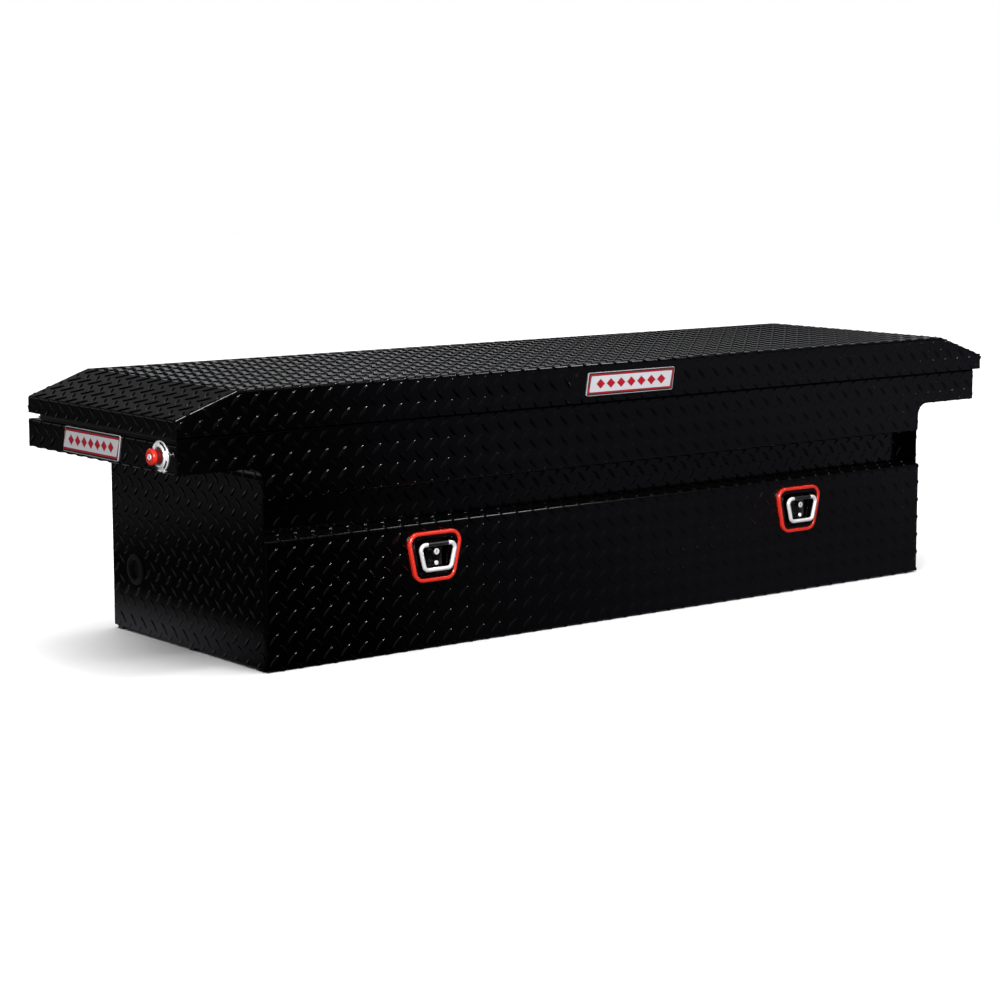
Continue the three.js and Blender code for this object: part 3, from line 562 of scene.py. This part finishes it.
def handle_ring(side, inset, depth):
    """A handle's outline drawn smaller, at a depth in front of the drawer's face."""
    bottom, top = HANDLE["bottom"] + inset, HANDLE["bottom"] + HANDLE["height"] - inset
    corners = [(-handle_half(bottom, inset), bottom), (handle_half(bottom, inset), bottom),
               (handle_half(top, inset), top), (-handle_half(top, inset), top)]
    outline = round_loop(corners, max(HANDLE["corner"] - inset, 4), steps=10)
    y = np.full(len(outline), DRAWER_FACE - depth)
    return np.stack([outline[:, 0] + side * HANDLE_X, y, outline[:, 1]], axis=1)


def boss_ring(x, inset, depth):
    """The outline of the raised block inside a handle's dish, drawn smaller, at a depth."""
    half, low, high = BOSS["half"] - inset, BOSS["low"] + inset, BOSS["high"] - inset
    outline = round_loop([(-half, low), (half, low), (half, high), (-half, high)], 3, 6)
    return np.stack([outline[:, 0] + x, np.full(len(outline), DRAWER_FACE - depth), outline[:, 1]], axis=1)


def revolve(profile, place, count=48):
    """Rings of a turned profile of (radius, height); place puts (across, up, height) in the frame."""
    turn = np.arange(count) * 2 * math.pi / count
    return [place(r * np.cos(turn), r * np.sin(turn), np.full(count, float(h))) for r, h in profile]


def facing_front(x, z, face):
    """Places a turned piece whose height is measured forward of a Y plane."""
    return lambda a, b, h: np.stack([x + a, face - h, z + b], axis=1)


def facing_left(y, z, face):
    """Places a turned piece whose height is measured to the left of an X plane."""
    return lambda a, b, h: np.stack([face - h, y + a, z + b], axis=1)


def bail(side):
    """A round bar bent to a tapered U, whose ends turn in along the pivot pin."""
    corners = [(-BAIL["end"], BAIL["z"]), (-BAIL["swing"], BAIL["z"]), (-BAIL["narrow"], BAIL["foot"]),
               (BAIL["narrow"], BAIL["foot"]), (BAIL["swing"], BAIL["z"]), (BAIL["end"], BAIL["z"])]
    path, headings = round_corners(corners, [BAIL["corner"]] * 4, steps=10)
    turn = np.arange(20) * 2 * math.pi / 20
    radius, bulge = BAIL["bar"], 0.35 * BAIL["bar"]

    def ring(point, heading, size, shift=0.0):
        across = np.array([-heading[1], heading[0]])
        flat = point + heading * shift + np.outer(np.cos(turn) * size, across)
        return np.stack([flat[:, 0] + side * HANDLE_X, BAIL["y"] - np.sin(turn) * size, flat[:, 1]], axis=1)

    def end_ring(k, t, way):
        return ring(path[k], headings[k], radius * math.cos(t), way * bulge * math.sin(t))

    rings = [end_ring(0, t, -1) for t in (1.2, 0.8, 0.4)]
    rings += [ring(p, h, radius) for p, h in zip(path, headings)]
    rings += [end_ring(-1, t, 1) for t in (0.4, 0.8, 1.2)]
    return loft(rings)


def handle_bezel(name, side):
    """A raised rim round the handle; its section is (inset, depth)."""
    section = [(0, 0.3), (0, 3.8), (0.3, 4.9), (1.0, 5.7), (2.1, 6.1), (3.25, 6.2), (4.4, 6.1), (5.5, 5.7),
               (6.2, 4.9), (6.5, 3.8), (6.5, 0.3)]
    rings = [handle_ring(side, inset, depth) for inset, depth in section]
    Build().add(*loft(rings, closed=True), "red_enamel").stand_for(name + "_handle_bezel")


def handle_dish(name, side):
    """A lip inside the bezel, a dish sunk behind it and the raised block; sections are (inset, depth)."""
    dish = [(10.9, -26), (10.9, -0.1), (6.8, 0.3), (6.8, 4.0), (7.1, 4.6), (7.8, 4.8), (11.2, 4.8),
            (11.9, 4.5), (12.3, 3.7), (12.6, 0), (12.8, -4.6), (13.3, -6.3), (14.4, -7), (15.4, -7.2),
            (16.1, -8), (16.4, -10), (17, -19.5), (17.8, -21.8), (20, -23)]
    boss = [(0, -24), (0, -1.3), (0.4, -0.4), (1.3, 0)]
    build = Build()
    build.add(*loft([handle_ring(side, inset, depth) for inset, depth in dish]), "black_plastic")
    build.add(*loft([boss_ring(side * HANDLE_X, inset, depth) for inset, depth in boss]), "black_plastic")
    build.stand_for(name + "_handle_dish")


def handle_pin(name, side):
    """The bail's pivot: a pin with a thicker barrel, and a web from the barrel to the drawer's face."""
    x, y, z = side * HANDLE_X, BAIL["y"], BAIL["z"]
    barrel, thick = BAIL["end"] - 0.5, BAIL["bar"]
    profile = [(PIN["radius"], -PIN["half"]), (PIN["radius"], -barrel), (thick - 0.5, -barrel),
               (thick, 0.5 - barrel), (thick, barrel - 0.5), (thick - 0.5, barrel),
               (PIN["radius"], barrel), (PIN["radius"], PIN["half"])]

    def along(a, b, h):
        return np.stack([x + h, y + a, z + b], axis=1)

    half, web_half, back = BOSS["half"] - 2, 1.5, DRAWER_FACE - 0.3
    web = round_loop([(y, -web_half), (back, -web_half), (back, web_half), (y, web_half)], 0.4, 3)
    rings = [np.stack([np.full(len(web), x + u), web[:, 0], z + web[:, 1]], axis=1) for u in (-half, half)]
    build = Build()
    build.add(*loft(revolve(profile, along, 32)), "dull_grey")
    build.add(*loft(rings), "black_plastic")
    build.stand_for(name + "_handle_pin")


def middle_and_radius(node):
    """Height of the middle, radius, front and back of a turned node that faces forward."""
    low, high = box_mm(node)
    return (low[2] + high[2]) / 2, (high[2] - low[2]) / 2, low[1], high[1]


def handle_key(name, side):
    """A handle's key cylinder, with black sides and a bright face whose keyway is painted shade."""
    node = name + "_handle_key"
    z, radius, front, back = middle_and_radius(node)
    reach = back - front
    place = facing_front(side * HANDLE_X, z, back)
    face = [(radius, reach - 1), (radius - 0.2, reach - 0.3), (radius - 0.9, reach),
            (radius - 1.4, reach - 0.3), (0.6, reach - 0.3)]
    build = Build()
    build.add(*loft(revolve([(radius, 0), (radius, reach - 0.9)], place)), "black_plastic")
    build.add(*loft(revolve(face, place)), "stainless")
    painted_keyway_shade(build, place, reach - 0.3, 2.2)
    build.stand_for(node)


def handle_stud(name, side):
    """A plain stud with black sides and a bright dome."""
    node = name + "_handle_stud"
    z, radius, front, back = middle_and_radius(node)
    reach, rise = back - front, 1.2
    place = facing_front(side * HANDLE_X, z, back)
    dome = [(radius, reach - 1.8)]
    dome += [(radius * math.cos(t), reach - rise + rise * math.sin(t)) for t in (0, 0.3, 0.6, 0.9, 1.2, 1.45)]
    build = Build()
    build.add(*loft(revolve([(radius, 0), (radius, reach - 1.7)], place)), "black_plastic")
    build.add(*loft(revolve(dome, place)), "stainless")
    build.stand_for(node)


def handles():
    for name, side in SIDES.items():
        handle_bezel(name, side)
        handle_dish(name, side)
        Build().add(*bail(side), "stainless").stand_for(name + "_handle_bail", smooth=60)
        handle_pin(name, side)
        handle_key(name, side)
        handle_stud(name, side)


def painted_keyway_shade(build, place, face, half):
    """A keyway as painted shade: a thin dark inlay with round ends that stands just proud of a cylinder's
    face, in place of a cut slot.
    """
    width = 0.65
    outline = round_loop([(-width, -half), (width, -half), (width, half), (-width, half)], width * 0.95, 4)
    rings = [place(outline[:, 0], outline[:, 1], np.full(len(outline), h)) for h in (face - 1, face + 0.06)]
    build.add(*loft(rings), "key_slot")


# --- Lid lock -------------------------------------------------------------------------------------
def centre_of(node):
    """Y and Z of a node's middle."""
    low, high = box_mm(node)
    return (low[1] + high[1]) / 2, (low[2] + high[2]) / 2


def escutcheon(place):
    """A ring of (radius, height) with a raised collar, three flange slots painted as dark inlays of shade, and
    a tab at its rim.
    """
    profile = [(14.3, 0.3), (24.2, 0.3), (24.5, 0.8), (24.5, 1.3), (24.0, 1.9), (23.0, 2.2), (22.6, 2.2),
               (22.3, 1.5), (20.2, 1.7), (19.9, 2.5), (18.6, 2.7), (17.8, 3.2), (17.3, 4.2), (16.6, 4.8),
               (15.3, 4.8), (14.5, 4.2)]
    build = Build().add(*loft(revolve(profile, place, 64), closed=True), "stainless")

    def sector(inner, outer, start, end, low, high, finish_name):
        turn = np.radians(np.linspace(start, end, 14))
        outline = np.concatenate([np.stack([r * np.cos(t), r * np.sin(t)], axis=1)
                                  for r, t in ((inner, turn), (outer, turn[::-1]))])
        rings = [place(outline[:, 0], outline[:, 1], np.full(len(outline), h)) for h in (low, high)]
        build.add(*loft(rings), finish_name)

    # The flange's slots are painted shade: dark inlays raised over the flange, not openings
    for start, end in ((95, 150), (195, 235), (285, 325)):
        sector(19.3, 22.7, start, end, 1.0, 2.75, "key_slot")
    sector(22.5, 27.0, 238, 250, 0.4, 1.9, "stainless")
    build.stand_for("lock_escutcheon")


def push_button(place):
    """A grooved stem under a wider cap, both bored for the key cylinder; the stem's red is painted darker, as
    shade under the cap.
    """
    low, high = box_mm("lock_button")
    reach, inner = WING_FACE - low[0], WING_FACE - high[0]
    neck, head, bore = 11.5, 13, 5.3
    grooves = []
    for below in (6, 4, 2):
        grooves += [(neck - dip, reach - 7.6 - below - away) for dip, away in ((0, 0.5), (0.9, 0), (0, -0.5))]
    stem = [(bore, inner), (neck - 0.5, inner), (neck, inner + 0.5), *grooves, (neck, reach - 7),
            (bore, reach - 7)]
    cap = [(bore, reach - 7.5), (neck + 0.2, reach - 7.5), (head - 0.3, reach - 6.4), (head, reach - 5.8),
           (head, reach - 2.2), (head - 0.5, reach - 1.0), (head - 1.5, reach - 0.2), (head - 2.4, reach),
           (bore + 0.7, reach), (bore, reach - 0.7)]
    build = Build()
    build.add(*loft(revolve(stem, place, 64), closed=True), "dark_red_enamel")
    build.add(*loft(revolve(cap, place, 64), closed=True), "red_enamel")
    # Its red reflection would show in the glossy wing beside it
    build.stand_for("lock_button").visible_glossy = False


def key_cylinder(place):
    """The lid lock's cylinder inside the button, with a keyway of painted shade in its face."""
    low, high = box_mm("key_cylinder")
    reach, radius = WING_FACE - low[0], (high[2] - low[2]) / 2 - 0.1
    profile = [(radius, 7), (radius, reach - 0.9), (radius - 0.4, reach - 0.2), (radius - 1, reach),
               (radius - 1.5, reach - 0.4), (0.6, reach - 0.4)]
    build = Build().add(*loft(revolve(profile, place)), "stainless")
    painted_keyway_shade(build, place, reach - 0.4, 2.6)
    build.stand_for("key_cylinder")


def lock():
    place = facing_left(*centre_of("lock_escutcheon"), WING_FACE)
    escutcheon(place)
    push_button(place)
    key_cylinder(place)


def side_plug():
    """A round rubber plug in the left end panel, with a domed rim and a groove that grips the sheet."""
    profile = [(0.5, -4), (14.2, -4), (15.2, -3.4), (16.2, 0.6), (17.2, 2.2), (18.6, 3.1), (20.4, 3.4),
               (23.4, 3.3), (25.3, 2.8), (26.5, 1.8), (27, 0.6), (27, 0.3), (23.7, 0.3), (23.7, -7.6),
               (23.3, -8), (19, -8), (17.5, -6), (0.5, -6)]
    place = facing_left(*centre_of("side_plug"), -BODY_HALF)
    Build().add(*loft(revolve(profile, place, 64), closed=True), "rubber").stand_for("side_plug")


# --- Name plates ----------------------------------------------------------------------------------
# A row of lozenges on each plate, and the black edge round each of them
LOZENGES = 7
LOZENGE_EDGE = 0.45


def lozenges(slab, corners):
    """An even row of equal red lozenges, in place of any print."""
    pitch = 0.8 * np.ptp(corners[:, 0]) / LOZENGES
    half = np.array([0.40 * pitch, 0.20 * np.ptp(corners[:, 1])])
    for k in range(LOZENGES):
        centre = corners.mean(0) + [(k - (LOZENGES - 1) / 2) * pitch, 0]
        for out, base, face, name in ((LOZENGE_EDGE, 2.2, 2.65, "key_slot"), (0, 2.3, 2.8, "red_print")):
            wide, tall = half + out
            slab(centre + np.array([(-wide, 0), (0, -tall), (wide, 0), (0, tall)]), base, face, name, 0.3)


def plate(node, place, corners, border):
    """A plate with no lettering: silver rim, red border, silver field, and a row of lozenges."""
    corners = np.array(corners, float)
    build = Build()

    def shrunk(across, up):
        middle = corners.mean(0)
        return middle + (corners - middle) * (1 - np.array([across, up]) / np.abs(corners - middle).max(0))

    def slab(outline, low, high, name, corner):
        path = round_loop(outline, corner, 5)
        build.add(*loft([place(path, h) for h in (low, high)]), name)

    side, top = border
    slab(shrunk(0, 0), 0.3, 1.9, "silver_plate", 3)
    slab(shrunk(0.8, 0.8), 1.0, 2.1, "key_slot", 2.5)
    slab(shrunk(0.4 * side, 0.55 * top), 1.2, 2.3, "red_print", 2)
    slab(shrunk(0.75 * side, 0.9 * top), 1.2, 2.4, "key_slot", 2)
    slab(shrunk(side, top), 1.3, 2.5, "silver_plate", 1.5)
    lozenges(slab, corners)
    build.stand_for(node)


def slanted(low, high, slant):
    """A four-cornered outline whose ends lean to the right."""
    return [(low[0], low[1]), (high[0] - slant, low[1]), (high[0], high[1]), (low[0] + slant, high[1])]


def name_plates():
    low, high = box_mm("lid_badge")

    def on_lid(path, h):
        return np.stack([path[:, 0], np.full(len(path), LID_LOW[1] - h), path[:, 1]], axis=1)

    plate("lid_badge", on_lid, slanted(low[[0, 2]], high[[0, 2]], 6), (6, 6))
    low, high = box_mm("wing_badge")
    ends_sum = low[1] + high[1]

    def on_wing(path, h):
        """Turned round, as seen from outside."""
        return np.stack([np.full(len(path), WING_FACE - h), ends_sum - path[:, 0], path[:, 1]], axis=1)

    plate("wing_badge", on_wing, slanted(low[[1, 2]], high[[1, 2]], 10), (3, 7))


# --- CAD nodes that stay --------------------------------------------------------------------------
SMOOTH_BELOW = math.radians(35)


def smooth_group():
    """A modifier's node group that shades smooth except across edges sharper than SMOOTH_BELOW."""
    group = bpy.data.node_groups.new("smooth_by_angle", "GeometryNodeTree")
    group.interface.new_socket("Geometry", in_out="INPUT", socket_type="NodeSocketGeometry")
    group.interface.new_socket("Geometry", in_out="OUTPUT", socket_type="NodeSocketGeometry")
    nodes, links = group.nodes, group.links
    start, end = nodes.new("NodeGroupInput"), nodes.new("NodeGroupOutput")
    angle = nodes.new("GeometryNodeInputMeshEdgeAngle")
    gentle = nodes.new("FunctionNodeCompare")
    gentle.operation = "LESS_EQUAL"
    gentle.inputs["B"].default_value = SMOOTH_BELOW
    faces, edges = nodes.new("GeometryNodeSetShadeSmooth"), nodes.new("GeometryNodeSetShadeSmooth")
    edges.domain = "EDGE"
    links.new(angle.outputs["Unsigned Angle"], gentle.inputs["A"])
    links.new(start.outputs["Geometry"], faces.inputs["Geometry"])
    links.new(faces.outputs["Geometry"], edges.inputs["Geometry"])
    links.new(gentle.outputs["Result"], edges.inputs["Shade Smooth"])
    links.new(edges.outputs["Geometry"], end.inputs["Geometry"])
    return group


def dress_remaining():
    """Gives the CAD nodes that still show their finish, softened edges and smooth round faces."""
    group = smooth_group()
    for name, thing in frame["nodes"].items():
        thing.data.materials.clear()
        thing.data.materials.append(MATERIALS[SLOT_OF[name]])
        if thing.hide_render:
            continue
        if SLOT_OF[name] in INNER_SLOTS:
            INNER.append(thing)
        weld = thing.modifiers.new("weld", "WELD")
        weld.merge_threshold = 1e-6
        bevel = thing.modifiers.new("soft_edges", "BEVEL")
        bevel.width = 0.4 * MM
        bevel.segments = 2
        bevel.limit_method = "ANGLE"
        bevel.angle_limit = SMOOTH_BELOW
        smooth = thing.modifiers.new("smooth", "NODES")
        smooth.node_group = group
        weigh(thing)


# --- Studio ---------------------------------------------------------------------------------------
def mix_for_camera(nodes, links, seen, lit, output):
    """Shows one shader to the camera and lets another light the object and show in its reflections."""
    path = nodes.new("ShaderNodeLightPath")
    mix = nodes.new("ShaderNodeMixShader")
    links.new(path.outputs["Is Camera Ray"], mix.inputs["Fac"])
    links.new(lit.outputs[0], mix.inputs[1])
    links.new(seen.outputs[0], mix.inputs[2])
    links.new(mix.outputs[0], output.inputs["Surface"])


# Levels of the studio's light on the object, as (place, level). The sky's place is the sine of the elevation.
# The floor's place is metres: to the right and slanting in front of the object, to the back behind it, left
# of its left end, and to the right in the rest behind it.
SKY_BEHIND = ((0.0, 0.36), (0.10, 0.36), (0.14, 0.24), (0.22, 0.13), (0.36, 0.13), (0.50, 0.015),
              (0.7, 0.006))
SKY_AHEAD = ((0.0, 0.02), (0.1, 0.04), (0.30, 0.14), (0.6, 0.14), (0.8, 0.05), (1.0, 0.01))
FLOOR_AHEAD = ((-3.0, 0.10), (-1.4, 0.06), (-0.85, 0.006), (-0.65, 0.006), (-0.5, 0.03), (0.1, 0.09),
               (0.7, 0.095), (1.2, 0.135), (2.5, 0.14))
FLOOR_BACK_LEFT = ((0.4, 0.01), (0.9, 0.013), (1.4, 0.07), (3.0, 0.03))
FLOOR_BACK_RIGHT = ((-0.8, 0.26), (-0.2, 0.10), (2.0, 0.14))
FLOOR_SLANT = 0.6
FLOOR_HALF = 14.0
# The sky's light fades to the right, between these two parts of its direction, to this share
FADE_FROM, FADE_TO, FADE_SHARE = 0.58, 0.78, 0.4


def graded(nodes, links, value, levels, blue):
    """The colour that a value along some levels stands for, its blue a little stronger than its grey."""
    (start, _), (end, _) = levels[0], levels[-1]
    along = nodes.new("ShaderNodeMapRange")
    along.inputs["From Min"].default_value = start
    along.inputs["From Max"].default_value = end
    ramp = nodes.new("ShaderNodeValToRGB")
    stops = ramp.color_ramp.elements
    for i, (position, level) in enumerate(levels):
        share = (position - start) / (end - start)
        stop = stops[i] if i < 2 else stops.new(share)
        stop.position = share
        stop.color = (level, level, level * blue, 1)
    links.new(value, along.inputs["Value"])
    links.new(along.outputs["Result"], ramp.inputs["Fac"])
    return ramp.outputs["Color"]


def blend(nodes, links, value, start, end, before, after):
    """One colour below the start of a value's range, another above its end."""
    along = nodes.new("ShaderNodeMapRange")
    along.inputs["From Min"].default_value = start
    along.inputs["From Max"].default_value = end
    mix = nodes.new("ShaderNodeMix")
    mix.data_type = "RGBA"
    links.new(value, along.inputs["Value"])
    links.new(along.outputs["Result"], mix.inputs["Factor"])
    links.new(before, [i for i in mix.inputs if i.name == "A" and i.type == "RGBA"][0])
    links.new(after, [i for i in mix.inputs if i.name == "B" and i.type == "RGBA"][0])
    return [o for o in mix.outputs if o.type == "RGBA"][0]


def world():
    """A sky that the camera sees white, and that lights the object by its levels."""
    made = bpy.data.worlds.new("studio")
    bpy.context.scene.world = made
    made.use_nodes = True
    nodes, links = made.node_tree.nodes, made.node_tree.links
    lit = nodes["Background"]
    seen = nodes.new("ShaderNodeBackground")
    seen.inputs["Color"].default_value = (1, 1, 1, 1)
    seen.inputs["Strength"].default_value = 1.0
    place = nodes.new("ShaderNodeTexCoord")
    split = nodes.new("ShaderNodeSeparateXYZ")
    links.new(place.outputs["Generated"], split.inputs["Vector"])
    ahead = graded(nodes, links, split.outputs["Z"], SKY_AHEAD, blue=1.04)
    behind = graded(nodes, links, split.outputs["Z"], SKY_BEHIND, blue=1.04)
    colour = blend(nodes, links, split.outputs["Y"], -0.15, 0.15, ahead, behind)
    links.new(colour, lit.inputs["Color"])
    fade = nodes.new("ShaderNodeMapRange")
    fade.inputs["From Min"].default_value = FADE_FROM
    fade.inputs["From Max"].default_value = FADE_TO
    fade.inputs["To Min"].default_value = 1.0
    fade.inputs["To Max"].default_value = FADE_SHARE
    links.new(split.outputs["X"], fade.inputs["Value"])
    links.new(fade.outputs["Result"], lit.inputs["Strength"])
    mix_for_camera(nodes, links, seen, lit, nodes["World Output"])


def floor():
    """A floor that the camera sees pale, and that lights the object by its levels."""
    half = FLOOR_HALF
    mesh = bpy.data.meshes.new("floor")
    corners = [(-half, -half, 0), (half, -half, 0), (half, half, 0), (-half, half, 0)]
    mesh.from_pydata(corners, [], [(0, 1, 2, 3)])
    made = bpy.data.objects.new("floor", mesh)
    bpy.context.scene.collection.objects.link(made)
    pale = bpy.data.materials.new("pale_floor")
    pale.use_nodes = True
    nodes, links = pale.node_tree.nodes, pale.node_tree.links
    nodes.remove(nodes["Principled BSDF"])
    seen = nodes.new("ShaderNodeBsdfDiffuse")
    seen.inputs["Color"].default_value = (0.93, 0.93, 0.93, 1)
    lit = nodes.new("ShaderNodeEmission")
    place = nodes.new("ShaderNodeNewGeometry")
    split = nodes.new("ShaderNodeSeparateXYZ")
    slant = nodes.new("ShaderNodeMath")
    slant.operation = "MULTIPLY_ADD"
    slant.inputs[1].default_value = FLOOR_SLANT
    links.new(place.outputs["Position"], split.inputs["Vector"])
    links.new(split.outputs["Y"], slant.inputs[0])
    links.new(split.outputs["X"], slant.inputs[2])
    ahead = graded(nodes, links, slant.outputs["Value"], FLOOR_AHEAD, blue=1.22)
    back_left = graded(nodes, links, split.outputs["Y"], FLOOR_BACK_LEFT, blue=1.0)
    back_right = graded(nodes, links, split.outputs["X"], FLOOR_BACK_RIGHT, blue=1.1)
    behind = blend(nodes, links, split.outputs["X"], -0.95, -0.78, back_left, back_right)
    links.new(blend(nodes, links, split.outputs["Y"], -0.2, 0.2, ahead, behind), lit.inputs["Color"])
    mix_for_camera(nodes, links, seen, lit, nodes["Material Output"])
    mesh.materials.append(pale)
    return made


def area_light(name, place, target, size, strength):
    """A rectangular light at a place, aimed at a target, of a size in metres and a strength in watts."""
    data = bpy.data.lights.new(name, "AREA")
    data.shape = "RECTANGLE"
    data.size, data.size_y = size
    data.energy = strength
    made = bpy.data.objects.new(name, data)
    bpy.context.scene.collection.objects.link(made)
    made.location = place
    made.rotation_mode = "QUATERNION"
    made.rotation_quaternion = (Vector(target) - Vector(place)).to_track_quat("-Z", "Y")
    return made


def only_on(light, things):
    """Lets a light reach only some objects."""
    group = bpy.data.collections.new(light.name + "_on")
    for thing in things:
        group.objects.link(thing)
    light.light_linking.receiver_collection = group


def floor_light(ground):
    """A wide soft sun, so that the floor's brightness doesn't depend on the object's lights."""
    data = bpy.data.lights.new("floor_light", "SUN")
    data.energy = 4.4
    data.angle = math.radians(80)
    made = bpy.data.objects.new("floor_light", data)
    bpy.context.scene.collection.objects.link(made)
    only_on(made, [ground])


def lights():
    """A soft light overhead, three for glints along edges, one for bright pieces and one for the inside."""
    area_light("overhead", (0.0, 0.3, 3.0), (0, 0, 0), (3.0, 1.0), 4)
    area_light("sparkle", (-0.9, -1.75, 2.6), (-0.2, 0, 0.3), (0.5, 0.12), 7)
    area_light("edge_glint", (-0.5, -0.9, 2.65), (-0.87, -0.23, 0.42), (0.4, 0.3), 14)
    area_light("fold_glint", (1.6, -0.55, 2.5), (0.0, -0.2, 0.4), (2.2, 0.3), 16)
    accent = area_light("accent", (-2.6, -3.4, 2.2), (0, 0, 0.25), (2.6, 1.8), 400)
    only_on(accent, ACCENTS)
    inner = area_light("inner", (0.0, -0.7, 2.4), (0, 0, 0.2), (2.4, 1.4), 220)
    only_on(inner, INNER)


def camera():
    """The camera stands left of the front and a little above the lid."""
    data = bpy.data.cameras.new("camera")
    data.sensor_width = 36
    data.lens = 90.6
    made = bpy.data.objects.new("camera", data)
    bpy.context.scene.collection.objects.link(made)
    made.location = (-2.851, -3.5003, 0.845)
    made.rotation_euler = (math.radians(90 - 8.356), math.radians(0.05), math.radians(-38.179))
    bpy.context.scene.camera = made


lid()
front()
rear()
ends()
drawer_face()
handles()
lock()
side_plug()
name_plates()
dress_remaining()
world()
floor_light(floor())
lights()
camera()
bpy.context.scene.view_settings.view_transform = "Standard"
